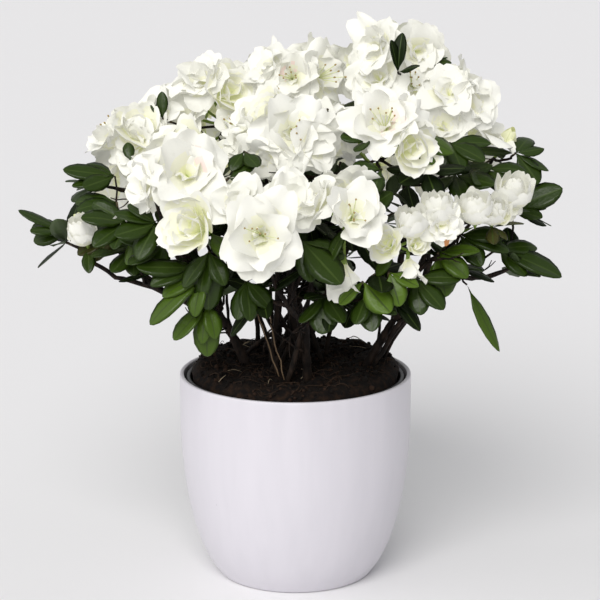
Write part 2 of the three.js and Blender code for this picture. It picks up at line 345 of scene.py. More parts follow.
bpy.ops.object.select_all(action="DESELECT")
bpy.ops.mesh.primitive_circle_add(
    vertices=72, radius=PEAT_RADIUS, fill_type="NGON", location=(0, 0, PEAT_LEVEL)
)
peat = bpy.context.active_object
peat.name = "peat"
bpy.ops.object.transform_apply(location=True, rotation=True, scale=True)
bpy.ops.object.mode_set(mode="EDIT")
bpy.ops.mesh.select_all(action="SELECT")
ring_width = PEAT_RADIUS / (PEAT_RINGS + 1)
for _ in range(PEAT_RINGS):
    bpy.ops.mesh.inset(thickness=ring_width, depth=0)
bpy.ops.mesh.poke()
bpy.ops.object.mode_set(mode="OBJECT")
for vertex in peat.data.vertices:
    vertex.co.z = peat_height(vertex.co.x, vertex.co.y)
bpy.ops.object.mode_set(mode="EDIT")
bpy.ops.mesh.select_all(action="DESELECT")
bpy.ops.mesh.select_non_manifold()
PEAT_DEPTH = PEAT_LEVEL - PEAT_LOW.z - 8 * MM
bpy.ops.mesh.extrude_edges_move(TRANSFORM_OT_translate={"value": (0, 0, -PEAT_DEPTH)})
foot_share = PEAT_FOOT / PEAT_RADIUS
bpy.ops.transform.resize(value=(foot_share, foot_share, 1), center_override=(0, 0, PEAT_LEVEL))
bpy.ops.mesh.edge_face_add()
bpy.ops.mesh.select_all(action="SELECT")
bpy.ops.mesh.normals_make_consistent(inside=False)
bpy.ops.object.mode_set(mode="OBJECT")
top = peat.vertex_groups.new(name="top")
top.add([v.index for v in peat.data.vertices if v.co.z > PEAT_LEVEL - 12 * MM], 1.0, "REPLACE")
for label, size, strength in (("lumps", 9 * MM, 4.2 * MM), ("crumbs", 2.5 * MM, 2.2 * MM)):
    push = peat.modifiers.new(label, "DISPLACE")
    push.texture = clouds(label, size)
    push.texture_coords = "GLOBAL"
    push.direction = "Z"
    push.strength = strength
    push.vertex_group = "top"
    bpy.ops.object.modifier_apply(modifier=label)
bpy.ops.object.shade_smooth()
print("peat", len(peat.data.vertices), "points")

# %% [markdown]
# ## Many small things
# Leaves, petals, twigs and crumbs are too many to model one by one. Each kind is a small mesh
# worked out with numpy, and a pile gathers the copies, each with its own place, size and random
# bends, into one joined piece. All the chance comes from seeded generators, so the plant grows the
# same each time.

# %% A pile of small meshes
class Pile:
    """Gathers small meshes as arrays and joins them into one piece."""

    def __init__(self, name, materials):
        self.name = name
        self.materials = materials
        self.points, self.quads, self.quad_looks = [], [], []
        self.tris = [np.zeros((0, 3), int)]
        self.tri_looks = [np.zeros(0, int)]
        self.count = 0

    def add(self, points, quads, quad_looks, tris=None, tri_looks=None):
        """Adds one small mesh. A look is the number of a material, for all faces or for each."""
        self.points.append(points)
        self.quads.append(quads + self.count)
        self.quad_looks.append(np.broadcast_to(quad_looks, len(quads)))
        if tris is not None:
            self.tris.append(tris + self.count)
            self.tri_looks.append(np.broadcast_to(tri_looks, len(tris)))
        self.count += len(points)

    def triangles(self):
        return 2 * sum(map(len, self.quads)) + sum(map(len, self.tris))

    def build(self, slot, replaces):
        """Makes the piece, with the solids that it stands for. The slot is not used."""
        mesh = bpy.data.meshes.new(self.name)
        points = np.concatenate(self.points)
        quads = np.concatenate(self.quads)
        tris = np.concatenate(self.tris)
        corners = np.concatenate([quads.ravel(), tris.ravel()])
        looks = np.concatenate(self.quad_looks + self.tri_looks)
        sizes = np.concatenate([np.full(len(quads), 4), np.full(len(tris), 3)])
        starts = np.concatenate([[0], np.cumsum(sizes)[:-1]])
        mesh.vertices.add(len(points))
        mesh.vertices.foreach_set("co", points.astype(np.float32).ravel())
        mesh.loops.add(int(sizes.sum()))
        mesh.loops.foreach_set("vertex_index", corners.astype(np.int32))
        mesh.polygons.add(len(sizes))
        mesh.polygons.foreach_set("loop_start", starts.astype(np.int32))
        mesh.polygons.foreach_set("material_index", looks.astype(np.int32))
        mesh.polygons.foreach_set("use_smooth", np.ones(len(sizes), bool))
        mesh.update(calc_edges=True)
        mesh.validate()
        for material in self.materials:
            mesh.materials.append(material)
        piece = bpy.data.objects.new(self.name, mesh)
        bpy.context.scene.collection.objects.link(piece)
        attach(piece, "root")
        if replaces:
            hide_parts(*replaces)
        print(self.name, self.triangles(), "triangles")
        return piece


# %% Directions and turns
def unit(vector):
    """A vector's direction, as a vector of length 1."""
    return vector / max(1e-9, np.linalg.norm(vector))


def towards(azimuth, elevation):
    """A direction by its angle round the pot, 0 being right and 90 back, and its rise, in degrees."""
    a, e = math.radians(azimuth), math.radians(elevation)
    return np.array([math.cos(a) * math.cos(e), math.sin(a) * math.cos(e), math.sin(e)])


def axes_along(along, facing):
    """Rows across, along and facing, square to each other."""
    along = unit(along)
    across = unit(np.cross(along, facing))
    return np.array([across, along, np.cross(across, along)])


def grid_quads(rows, columns):
    """Quads of a grid of points, counted row by row."""
    r, c = np.mgrid[0 : rows - 1, 0 : columns - 1]
    first = (r * columns + c).ravel()
    return np.stack([first, first + 1, first + columns + 1, first + columns], axis=1)


# %% A tapering twig
TWIG_SIDES = 6


def add_tube(pile, path, radii, look, sides=TWIG_SIDES):
    """A closed tube along a path, with its own radius at each point."""
    path = np.asarray(path, float)
    radii = np.broadcast_to(np.asarray(radii, float), len(path))
    ahead = np.gradient(path, axis=0)
    points = []
    across = None
    for place, direction, radius in zip(path, ahead, radii):
        direction = unit(direction)
        if across is None:
            across = unit(np.cross(direction, [0.31, 0.87, 0.38]))
        across = unit(across - direction * np.dot(across, direction))
        other = np.cross(direction, across)
        angles = 2 * np.pi * np.arange(sides) / sides
        ring = np.cos(angles)[:, None] * across + np.sin(angles)[:, None] * other
        points.append(place + ring * radius)
    count = len(path)
    base = np.arange(count - 1)[:, None] * sides
    side = np.arange(sides)[None, :]
    quads = np.stack([base + side, base + (side + 1) % sides,
                      base + sides + (side + 1) % sides, base + sides + side], axis=-1).reshape(-1, 4)
    points = np.concatenate(points + [path[:1], path[-1:]])
    foot, tip = count * sides, count * sides + 1
    ring = np.arange(sides)
    last = (count - 1) * sides
    tris = np.concatenate([
        np.stack([np.full(sides, foot), (ring + 1) % sides, ring], axis=1),
        np.stack([np.full(sides, tip), last + ring, last + (ring + 1) % sides], axis=1),
    ])
    pile.add(points, quads, look, tris, look)


def bowed_path(start, end, bow, steps, kink=0.0, chance=None):
    """Points from start to end along a curve that bows by a vector, with small kinks."""
    t = np.linspace(0, 1, steps + 1)[:, None]
    path = start + (end - start) * t + np.asarray(bow) * 4 * t * (1 - t)
    if kink:
        path[1:-1] += chance.normal(0, kink, (steps - 1, 3))
    return path


# %% Crumbs, fibres and pale roots on the peat
PEAT_SEED = 11
chance = np.random.default_rng(PEAT_SEED)


def peat_material(name, dark, light, roughness=0.95):
    """Dark and light patches of fine noise, which is the relief too."""
    material = plain_material(name, dark, roughness, specular=0.2)
    shader = material.node_tree.nodes["Principled BSDF"]
    place = add_node(material, "ShaderNodeTexCoord")
    noise = add_node(material, "ShaderNodeTexNoise", Scale=260, Detail=8)
    tint = two_tone(material, 0.42, dark, 0.72, light)
    relief = add_node(material, "ShaderNodeBump", Strength=0.9, Distance=1.5 * MM)
    links = material.node_tree.links
    links.new(place.outputs["Object"], noise.inputs["Vector"])
    links.new(noise.outputs["Fac"], tint.inputs["Fac"])
    links.new(tint.outputs["Color"], shader.inputs["Base Color"])
    links.new(noise.outputs["Fac"], relief.inputs["Height"])
    links.new(relief.outputs["Normal"], shader.inputs["Normal"])
    return material


peat.data.materials.append(peat_material("wet_peat", (0.0035, 0.0022, 0.0018), (0.021, 0.0105, 0.0055)))
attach(peat, "root")
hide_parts("root_ball")

CRUMB_COUNT = 620
FIBRE_COUNT = 150
DARK_CRUMB, BROWN_CRUMB, FINE_ROOT, PALE_ROOT = range(4)
crumb_looks = [
    plain_material("dark_crumb", (0.006, 0.004, 0.003), 0.95, 0.8, 700, 0.2),
    plain_material("brown_crumb", (0.025, 0.013, 0.008), 0.95, 0.8, 700, 0.2),
    plain_material("fine_root", (0.035, 0.02, 0.012), 0.85, specular=0.2),
    plain_material("pale_root", (0.3, 0.24, 0.16), 0.7, specular=0.2),
]
crumbs = Pile("peat_crumbs_and_roots", crumb_looks)
for i in range(CRUMB_COUNT):
    azimuth = chance.uniform(0, 2 * np.pi)
    reach = PEAT_RADIUS * (0.97 * math.sqrt(chance.uniform(0.02, 1)))
    x, y = reach * math.cos(azimuth), reach * math.sin(azimuth)
    size = chance.uniform(0.6, 1.6) * MM * (1.5 if chance.random() < 0.12 else 1)
    place = np.array([x, y, peat_height(x, y) + size * 0.3])
    lump = unit(chance.normal(0, 1, 3)) * size * 0.7
    path = np.linspace(place - lump, place + lump, 4)
    look = BROWN_CRUMB if chance.random() < 0.3 else DARK_CRUMB
    add_tube(crumbs, path, np.array([0.45, 1, 0.9, 0.35]) * size, look, 5)
for i in range(FIBRE_COUNT):
    azimuth = chance.uniform(0, 2 * np.pi)
    reach = PEAT_RADIUS * chance.uniform(0.25, 0.93)
    start = np.array([reach * math.cos(azimuth), reach * math.sin(azimuth), 0])
    heading = towards(chance.uniform(0, 360), 0)
    end = start + heading * chance.uniform(5, 16) * MM
    end *= min(1, 0.93 * PEAT_RADIUS / max(1e-6, np.linalg.norm(end[:2])))
    side = np.cross(heading, [0, 0, 1]) * chance.normal(0, 2.5) * MM
    path = bowed_path(start, end, side, 6)
    lift = chance.uniform(0.6, 2.8) * MM
    path[:, 2] = peat_height(path[:, 0], path[:, 1]) + lift * np.sin(np.linspace(0.2, 3.0, 7)) + 0.6 * MM
    thick = chance.uniform(0.12, 0.3) * MM
    look = FINE_ROOT if chance.random() < 0.9 else PALE_ROOT
    add_tube(crumbs, path, thick, look, 4)
crumbs.build("peat", [])

# %% [markdown]
# ## Stems and boughs
# Azalea wood is thin, hard and dark, and forks low. The frame's limbs give each line and thickness:
# their points are gathered in slices from foot to tip, and a curve is drawn through the middles of
# the slices. The curves are turned into a mesh and roughened by two displacements, the bark's
# relief and the swellings at old leaf scars.

# %% The line of a limb
LIMB_SLICES = 5


def limb_line(node):
    """The middle line and radii of a limb of the frame, from its lower end to its upper end."""
    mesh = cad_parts[node].data
    points = np.array([v.co for v in mesh.vertices], float)
    middle = points.mean(0)
    axis = np.linalg.svd(points - middle, full_matrices=False)[2][0]
    axis *= 1 if axis[2] > 0 else -1
    along = (points - middle) @ axis
    edges = np.linspace(along.min() - 1e-6, along.max() + 1e-6, LIMB_SLICES + 1)
    line, radii = [], []
    for start, end in zip(edges[:-1], edges[1:]):
        held = points[(along >= start) & (along <= end)]
        if len(held) >= 3:
            centre = held.mean(0)
            sideways = held - centre
            sideways -= np.outer(sideways @ axis, axis)
            line.append(centre)
            radii.append(np.linalg.norm(sideways, axis=1).mean())
    return np.array(line), np.array(radii)


STEMS = {n: limb_line(n) for n in NODES if n.startswith("stem_")}
BOUGHS = {n: limb_line(n) for n in NODES if n.startswith("bough_")}
print(len(STEMS), "stems and", len(BOUGHS), "boughs")

# %% The limbs as curves
STEM_OVERLAP = 3 * MM  # how far a stem's curve runs on past each end of its line
FOOT_FLARE = 1.25
TIP_TAPER = 0.9

bpy.ops.object.select_all(action="DESELECT")
curve = bpy.data.curves.new("limbs", "CURVE")
curve.dimensions = "3D"
curve.bevel_depth = 1.0
curve.bevel_resolution = 3
curve.resolution_u = 10
curve.use_fill_caps = True


def add_limb(line, radii):
    """A smooth curve through a limb's line, as thick at each point as its radius there."""
    spline = curve.splines.new("NURBS")
    spline.points.add(len(line) - 1)
    for point, place, radius in zip(spline.points, line, radii):
        point.co = (*place, 1)
        point.radius = radius
    spline.order_u = 3
    spline.use_endpoint_u = True


for name, (line, radii) in STEMS.items():
    foot = line[0] - unit(line[1] - line[0]) * STEM_OVERLAP
    tip = line[-1] + unit(line[-1] - line[-2]) * STEM_OVERLAP
    thickness = [radii[0] * FOOT_FLARE, *radii, radii[-1] * TIP_TAPER]
    add_limb(np.vstack([foot, line, tip]), thickness)
for name, (line, radii) in BOUGHS.items():
    stem_line = STEMS["stem_" + name.split("_")[1]][0]
    add_limb(np.vstack([stem_line[-1:], line]), [radii[0], *radii])
limbs = bpy.data.objects.new("woody_limbs", curve)
bpy.context.scene.collection.objects.link(limbs)
bpy.context.view_layer.objects.active = limbs
limbs.select_set(True)
bpy.ops.object.convert(target="MESH")
limbs = bpy.context.active_object
for label, size, strength in (("scars", 7 * MM, 1.3 * MM), ("bark", 1.8 * MM, 0.7 * MM)):
    push = limbs.modifiers.new(label, "DISPLACE")
    push.texture = clouds(label, size)
    push.texture_coords = "GLOBAL"
    push.strength = strength
    bpy.ops.object.modifier_apply(modifier=label)
bpy.ops.object.shade_smooth()


def bark_material():
    """The peat's two-tone noise in bark's colours, drawn out upwards."""
    material = peat_material("azalea_bark", (0.006, 0.004, 0.003), (0.036, 0.022, 0.015), 0.75)
    noise = material.node_tree.nodes["Noise Texture"]
    place = material.node_tree.nodes["Texture Coordinate"]
    stretch = add_node(material, "ShaderNodeMapping", Scale=(1, 1, 0.3))
    material.node_tree.links.new(place.outputs["Object"], stretch.inputs["Vector"])
    material.node_tree.links.new(stretch.outputs["Vector"], noise.inputs["Vector"])
    return material


limbs.data.materials.append(bark_material())
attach(limbs, "root")
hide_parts(*STEMS, *BOUGHS)
print("limbs", len(limbs.data.polygons), "faces")

# %% [markdown]
# ## Clumps
# The frame's crown is made of clumps, each a truss of flowers or a spray of leaves. A clump is kept
# as a centre and three half sizes. Twigs run from the wood to a hub inside each clump, and the
# flowers and leaves are set out on it from there.

# %% Centres, sizes and hubs
CROWN_HEART = np.array([0.0, 0.0, 225 * MM])
HUB_DEPTH = 0.35  # how far a hub lies from its clump's centre back towards the crown's heart
HUB_DROP = 4 * MM


class Clump:
    """A rounded clump of the crown, as its solid's box gives it."""

    def __init__(self, node):
        low, high = (np.array(corner_point) for corner_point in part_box(node))
        self.node = node
        self.centre = (low + high) / 2
        self.half = (high - low) / 2
        self.outward = unit(self.centre - CROWN_HEART)
        self.hub = self.centre - self.outward * self.half.min() * HUB_DEPTH
        self.hub[2] -= HUB_DROP

    def surface(self, direction, share):
        """The point at a share of the way out to the clump's skin, in a direction from its centre."""
        return self.centre + direction * share / np.linalg.norm(direction / self.half)

    def holds(self, point, share):
        """Whether a point lies in the clump, made larger or smaller by a share."""
        return np.linalg.norm((point - self.centre) / self.half) < share


CLUMPS = {n: Clump(n) for n in NODES if n.split("_")[0] in ("bloom", "bud", "leaf")}
BLOSSOM_CLUMPS = [c for n, c in CLUMPS.items() if not n.startswith("leaf_")]
LEAF_CLUMPS = [c for n, c in CLUMPS.items() if n.startswith("leaf_")]
print(len(BLOSSOM_CLUMPS), "blossom clumps and", len(LEAF_CLUMPS), "leaf clumps")

# %% Leaf colours
leaf_looks = [
    plain_material("leaf_deep", (0.019, 0.038, 0.003), 0.3, 0.25, 420, 0.24),
    plain_material("leaf_green", (0.046, 0.086, 0.006), 0.3, 0.25, 420, 0.24),
    plain_material("leaf_bright", (0.072, 0.13, 0.01), 0.34, 0.25, 420, 0.24),
    plain_material("leaf_underside", (0.06, 0.088, 0.035), 0.6, 0.3, 420, 0.3),
    plain_material("leaf_rib", (0.036, 0.062, 0.009), 0.4, specular=0.24),
    plain_material("leaf_brown", (0.036, 0.036, 0.006), 0.36, 0.25, 420, 0.24),
    # Painted shade: a nearly black green for the leaves that stand in the crown's shade.
    plain_material("leaf_painted_shade", (0.007, 0.014, 0.002), 0.5, 0.25, 420, 0.12),
]
DEEP, GREEN, BRIGHT, UNDERSIDE, RIB, BROWN, PAINTED_SHADE = range(7)

# %% [markdown]
# ## A leaf
# An azalea leaf is a small leathery blade, widest past its middle, with a sunk midrib and margins
# that curl down a little. Two skins share one outline, so the underside can have its own, paler
# colour. Six rows and six columns are enough for the curl.

# %% One leaf
LEAF_STATIONS = np.array([0, 0.13, 0.32, 0.54, 0.74, 0.89, 0.97, 1])  # shares of the length
LEAF_ROWS = len(LEAF_STATIONS) - 2
LEAF_COLUMNS = np.array([-1, -0.55, -0.07, 0.07, 0.55, 1])
MIDRIB = 2  # the strip between the two middle columns
LEAF_THICKNESS = 0.35 * MM
RIB_DEPTH = 0.35 * MM  # how far the midrib stands out below the leaf
UPPER = -1  # stands for the colour that a leaf gets on its upper side


def leaf_mesh(length, width, droop, fold, wave):
    """Points, quads and tris of a leaf along +Y facing +Z. Droop is in radians from foot to tip."""
    t = LEAF_STATIONS
    bend = droop * (t - 0.35) * np.clip(t * 3, 0, 1)
    step = length * np.diff(t)
    y = np.concatenate([[0], np.cumsum(np.cos(bend[:-1]) * step)])
    z = np.concatenate([[0], np.cumsum(-np.sin(bend[:-1]) * step)])
    half = width / 2 * np.sin(np.pi * t**1.3) ** 0.62
    half[1] *= 0.5
    rows = slice(1, LEAF_ROWS + 1)
    u = LEAF_COLUMNS[None, :]
    across = half[rows, None] * u * math.cos(fold)
    rise = half[rows, None] * (np.abs(u) * math.sin(fold) - 0.22 * u**2)
    rise = rise + wave * np.sin(7 * t[rows, None] + 2 * u) * np.abs(u)
    top = np.stack([across, np.broadcast_to(y[rows, None], across.shape), z[rows, None] + rise], axis=-1)
    under = top[:, 1:-1].copy()
    under[..., 2] -= LEAF_THICKNESS
    under[:, 1:3, 2] -= RIB_DEPTH
    columns = len(LEAF_COLUMNS)
    points = np.concatenate([
        top.reshape(-1, 3), under.reshape(-1, 3), [[0, y[0], z[0]]], [[0, y[-1], z[-1]]],
    ])
    upper = np.arange(LEAF_ROWS * columns).reshape(LEAF_ROWS, columns)
    lower = upper.copy()
    lower[:, 1:-1] = LEAF_ROWS * columns + np.arange(LEAF_ROWS * (columns - 2)).reshape(LEAF_ROWS, -1)
    foot, tip = len(points) - 2, len(points) - 1
    quads, looks = [], []
    for skin, turn, is_top in ((upper, False, True), (lower, True, False)):
        for c in range(columns - 1):
            strip = np.stack([skin[:-1, c], skin[:-1, c + 1], skin[1:, c + 1], skin[1:, c]], axis=1)
            quads.append(strip[:, ::-1] if turn else strip)
            upper_look = RIB if c == MIDRIB else UPPER
            looks += [upper_look if is_top else UNDERSIDE] * len(strip)
    tris = []
    for skin, turn in ((upper, 1), (lower, -1)):
        for c in range(columns - 1):
            tris.append([foot, skin[0, c + 1], skin[0, c]][::turn])
            tris.append([tip, skin[-1, c], skin[-1, c + 1]][::turn])
    tri_looks = [UPPER] * (2 * (columns - 1)) + [UNDERSIDE] * (2 * (columns - 1))
    return points, np.concatenate(quads), np.array(looks), np.array(tris), np.array(tri_looks)


def add_leaf(pile, foot, along, facing, length, width, look, chance):
    """Sets one leaf of its own bend at a point. Its look is the colour of its upper side."""
    droop, fold = chance.uniform(-0.2, 0.75), chance.uniform(0.05, 0.4)
    wave = chance.uniform(0, 0.5) * MM
    points, quads, looks, tris, tri_looks = leaf_mesh(length, width, droop, fold, wave)
    looks = np.where(looks == UPPER, look, looks)
    tri_looks = np.where(tri_looks == UPPER, look, tri_looks)
    pile.add(points @ axes_along(along, facing) + foot, quads, looks, tris, tri_looks)


print("a leaf has", LEAF_ROWS, "rows of", len(LEAF_COLUMNS), "points on its upper skin")

# %% [markdown]
# ## A flower
# Each petal is a sheet that rises from the throat as a funnel, then opens outwards. Its middle line
# is found by adding up small steps whose slope turns from steep to flat, its edges are lifted and
# ruffled, and its tip is rounded with a shallow notch. Whorls of such petals, each steeper and
# smaller than the one outside it, make every stage from tight bud to open double flower.

# %% Petal colours
# Painted light: every petal gives off a share of its colour as its own light, which brightens its shaded
# parts.
PAINTED_GLOW = 0.19  # the share of a petal's colour that stands for light soaking through it


def petal_material(name, colour):
    """A petal's colour, with a little painted light that it gives off itself, since a thin sheet has no
    inside to scatter light in.
    """
    material = plain_material(name, colour, 0.6, 0.06, 500, 0.25)
    shader = material.node_tree.nodes["Principled BSDF"]
    shader.inputs["Emission Color"].default_value = (*colour, 1)
    shader.inputs["Emission Strength"].default_value = PAINTED_GLOW
    return material


petal_looks = [
    petal_material("petal_white", (0.695, 0.692, 0.64)),
    petal_material("petal_ivory", (0.70, 0.696, 0.565)),
    petal_material("petal_cream", (0.70, 0.71, 0.475)),
    petal_material("petal_throat", (0.55, 0.62, 0.26)),
    petal_material("petal_blush", (0.73, 0.61, 0.56)),
    petal_material("petal_rust", (0.50, 0.22, 0.085)),
    plain_material("filament", (0.72, 0.76, 0.42), 0.5),
    plain_material("anther", (0.34, 0.24, 0.09), 0.6),
    plain_material("green_calyx", (0.22, 0.32, 0.05), 0.5, 0.2, 500),
]
WHITE, IVORY, CREAM, THROAT, BLUSH, RUST, FILAMENT, ANTHER, CALYX = range(9)
print(len(petal_looks), "colours for the flowers")

# %% One petal
PETAL_ROWS = 9
PETAL_COLUMNS = 9
PETAL_QUADS = grid_quads(PETAL_ROWS, PETAL_COLUMNS)
LINE_STEPS = 24


def smoothstep(x):
    """Goes from 0 to 1 as x does, and starts and ends flat."""
    x = np.clip(x, 0, 1)
    return x * x * (3 - 2 * x)


def petal_points(length, width, slope_in, slope_out, cup, ruffle, twist, chance):
    """Points of a petal that starts on the flower's axis, +Z, and leans out along +X.

    Slopes are angles from the axis, in degrees, near the foot and near the tip. Cup lifts both
    edges, ruffle is the height of the waves, and twist lifts one edge and drops the other.
    """
    t = np.linspace(0, 1, LINE_STEPS)
    slope = np.radians(slope_in + (slope_out - slope_in) * smoothstep((t - 0.12) / 0.72))
    step = length / (LINE_STEPS - 1)
    out = np.concatenate([[0], np.cumsum(np.sin(slope[:-1]) * step)])
    up = np.concatenate([[0], np.cumsum(np.cos(slope[:-1]) * step)])
    v = np.linspace(0, 1, PETAL_ROWS)[:, None]
    u = np.linspace(-1, 1, PETAL_COLUMNS)[None, :]
    tip = 1 - 0.3 * np.abs(u) ** 2.4 * smoothstep(v / 0.8) - 0.08 * np.exp(-((u / 0.2) ** 2)) * v**4
    s = v * tip
    half = width / 2 * (0.16 + 0.84 * smoothstep(v / 0.62)) * (1 - 0.2 * smoothstep((v - 0.7) / 0.3))
    r, z, a = (np.interp(s, t, line) for line in (out, up, slope))
    phase = chance.uniform(0, 2 * np.pi, 4)
    waves = chance.uniform(1.1, 2.1, 2)
    lift = cup * half * u**2 * smoothstep(v / 0.5) + twist * half * u * smoothstep(v / 0.7)
    lift = lift - 0.05 * half * np.exp(-((u / 0.2) ** 2)) * smoothstep(v / 0.4)
    along_edge = np.sin(waves[0] * np.pi * v + phase[0] + 1.5 * np.sign(u))
    lift = lift + ruffle * v**2 * np.abs(u) ** 1.5 * along_edge
    lift = lift + ruffle * v**3 * 0.8 * np.sin(waves[1] * np.pi * u + phase[1])
    lift = lift + ruffle * 0.35 * v * np.sin(3 * u + phase[2]) * np.sin(4 * v + phase[3])
    return np.stack([r - lift * np.cos(a), half * u + 0 * v, z + lift * np.sin(a)], axis=-1)


def petal_face_looks(cream_to, throat_to, blush, chance):
    """The look of each quad, by how far out it is: throat, cream, ivory, then white."""
    rows, columns = PETAL_ROWS - 1, PETAL_COLUMNS - 1
    v = (np.arange(rows) + 0.5)[:, None] / rows + 0 * np.arange(columns)[None, :]
    side = (np.arange(columns) + 0.5)[None, :] / columns * 2 - 1 + 0 * v
    out = v + 0.22 * np.abs(side)
    within = [out < throat_to, out < cream_to, out < cream_to + 0.25]
    # The throat's green is the flower's own. The cream and ivory round it are partly the flower's own
    # colour and partly painted light: the warm light that soaks through the petals and bounces in the
    # flower's depth.
    looks = np.select(within, [THROAT, CREAM, IVORY], WHITE)
    if blush == BLUSH:
        freckled = (np.abs(side) < 0.5) & (v > 0.2) & (v < 0.7) & (chance.random(v.shape) < 0.45)
        looks[freckled] = BLUSH
    elif blush == RUST:
        looks[(side > 0) & (side < v - 0.36)] = RUST
    return looks.ravel()


print("a petal has", len(PETAL_QUADS), "quads")

# %% The kinds of flower
# Each whorl: petals, length and width as shares of the flower's radius, slope near the foot and
# near the tip, cup and ruffle. Then how far cream and throat colours reach along a petal, and how
# many stamens show.
FLOWERS = {
    "open": {
        "whorls": [(5, 1.3, 1.0, 28, 92, 0.06, 1.6), (4, 1.08, 0.88, 20, 62, 0.12, 1.5),
                   (2, 0.56, 0.36, 10, 32, 0.3, 1.0)],
        "cream": 0.36, "throat": 0.2, "stamens": 7,
    },
    "double": {
        "whorls": [(5, 1.28, 1.06, 28, 92, 0.08, 1.5), (5, 1.06, 0.96, 22, 66, 0.14, 1.5),
                   (3, 0.84, 0.76, 18, 50, 0.2, 1.2), (2, 0.6, 0.46, 8, 28, 0.3, 1.1)],
        "cream": 0.42, "throat": 0.18, "stamens": 0,
    },
    "cup": {
        "whorls": [(5, 1.3, 1.15, 34, 50, 0.2, 0.7), (5, 1.12, 1.0, 26, 34, 0.25, 0.8),
                   (3, 0.9, 0.8, 14, 14, 0.3, 0.9)],
        "cream": 0.66, "throat": 0.32, "stamens": 0,
    },
    "rosebud": {
        "whorls": [(5, 1.75, 1.35, 60, 0, 0.42, 0.9), (5, 1.75, 1.25, 50, -12, 0.5, 1.0),
                   (4, 1.65, 1.1, 38, -20, 0.55, 1.1), (3, 1.5, 0.9, 22, -22, 0.55, 1.1)],
        "cream": 0.42, "throat": 0.12, "stamens": 0,
    },
    "spent": {
        "whorls": [(3, 1.5, 1.1, 14, 34, 0.2, 1.6), (2, 1.2, 0.9, 8, 20, 0.2, 1.6)],
        "cream": 0.3, "throat": 0.1, "stamens": 3,
    },
    "bud": {
        "whorls": [(3, 2.3, 1.5, 38, -30, 0.6, 0.15), (3, 2.2, 1.4, 30, -26, 0.6, 0.15)],
        "cream": 1.2, "throat": 0.5, "stamens": 0,
    },
}
print("kinds of flower:", ", ".join(FLOWERS))

# %% One flower
RUFFLE_UNIT = 0.06  # a ruffle of 1, as a share of the flower's radius
WHORL_STEP = 0.04  # how much higher each whorl stands, as a share of the radius
HANGING = -0.5  # a petal that leans down more than this can be rusty


def add_flower(petals, stalks, place, axis, diameter, kind, chance, blush, stalk_from):
    """One flower facing along its axis, with the middle of its rim at a place, and its stalk."""
    spec = FLOWERS[kind]
    radius = diameter / 2
    across = unit(np.cross(axis, [0.13, 0.21, 0.97]))
    turn = np.array([across, np.cross(axis, across), axis])
    loose = 17 if kind in ("open", "double") else 5  # how unlike the petals' slopes are, in degrees
    sheets, depth = [], 0
    spin = chance.uniform(0, 2 * np.pi)
    for w, (count, length, width, slope_in, slope_out, cup, ruffle) in enumerate(spec["whorls"]):
        spin += np.pi / 5 + chance.uniform(-0.15, 0.15)
        for i in range(count):
            points = petal_points(
                length * radius * chance.uniform(0.8, 1.12),
                width * radius * chance.uniform(0.88, 1.1),
                slope_in + chance.normal(0, 3),
                slope_out + chance.normal(0, loose),
                cup + chance.normal(0, 0.06),
                ruffle * radius * RUFFLE_UNIT * chance.uniform(0.6, 1.5),
                chance.normal(0, 0.14),
                chance,
            )
            angle = spin + 2 * np.pi * i / count + chance.normal(0, 0.15)
            c, s = math.cos(angle), math.sin(angle)
            points = points @ np.array([[c, s, 0], [-s, c, 0], [0, 0, 1]])
            points[..., 2] += w * WHORL_STEP * radius
            if w == 0:
                depth = max(depth, points[..., 2].max())
            hangs = (turn.T @ [c, s, 0])[2] < HANGING
            marked = (w == 0 and hangs) if blush == RUST else (w == 1 and i < 2)
            mark = blush if marked else None
            sheets.append((points, petal_face_looks(spec["cream"], spec["throat"], mark, chance)))
    base = place - axis * depth * 0.85
    for points, looks in sheets:
        petals.add(points.reshape(-1, 3) @ turn + base, PETAL_QUADS, looks)
    for i in range(spec["stamens"]):
        angle = chance.uniform(0, 2 * np.pi)
        lean = chance.uniform(4, 20)
        reach = turn.T @ np.array([
            math.cos(angle) * math.sin(math.radians(lean)),
            math.sin(angle) * math.sin(math.radians(lean)),
            math.cos(math.radians(lean)),
        ])
        end = base + reach * radius * chance.uniform(0.75, 1.1)
        path = bowed_path(base + axis * 3 * MM, end, axis * 1.5 * MM, 4)
        add_tube(stalks, path, 0.3 * MM, FILAMENT, 4)
        knob = np.linspace(end - reach * 0.6 * MM, end + reach * 0.9 * MM, 3)
        add_tube(stalks, knob, np.array([0.4, 0.7, 0.35]) * MM, ANTHER, 5)
    add_tube(
        stalks,
        np.array([base - axis * 4 * MM, base - axis * 1 * MM, base + axis * 2.5 * MM]),
        np.array([0.9, 2.0, 2.3]) * MM * min(1.2, radius / (20 * MM)),
        CALYX,
    )
    path = bowed_path(stalk_from, base - axis * 3 * MM, -axis * 2 * MM, 4)
    add_tube(stalks, path, np.linspace(1.1, 0.85, 5) * MM, CALYX)
    return base
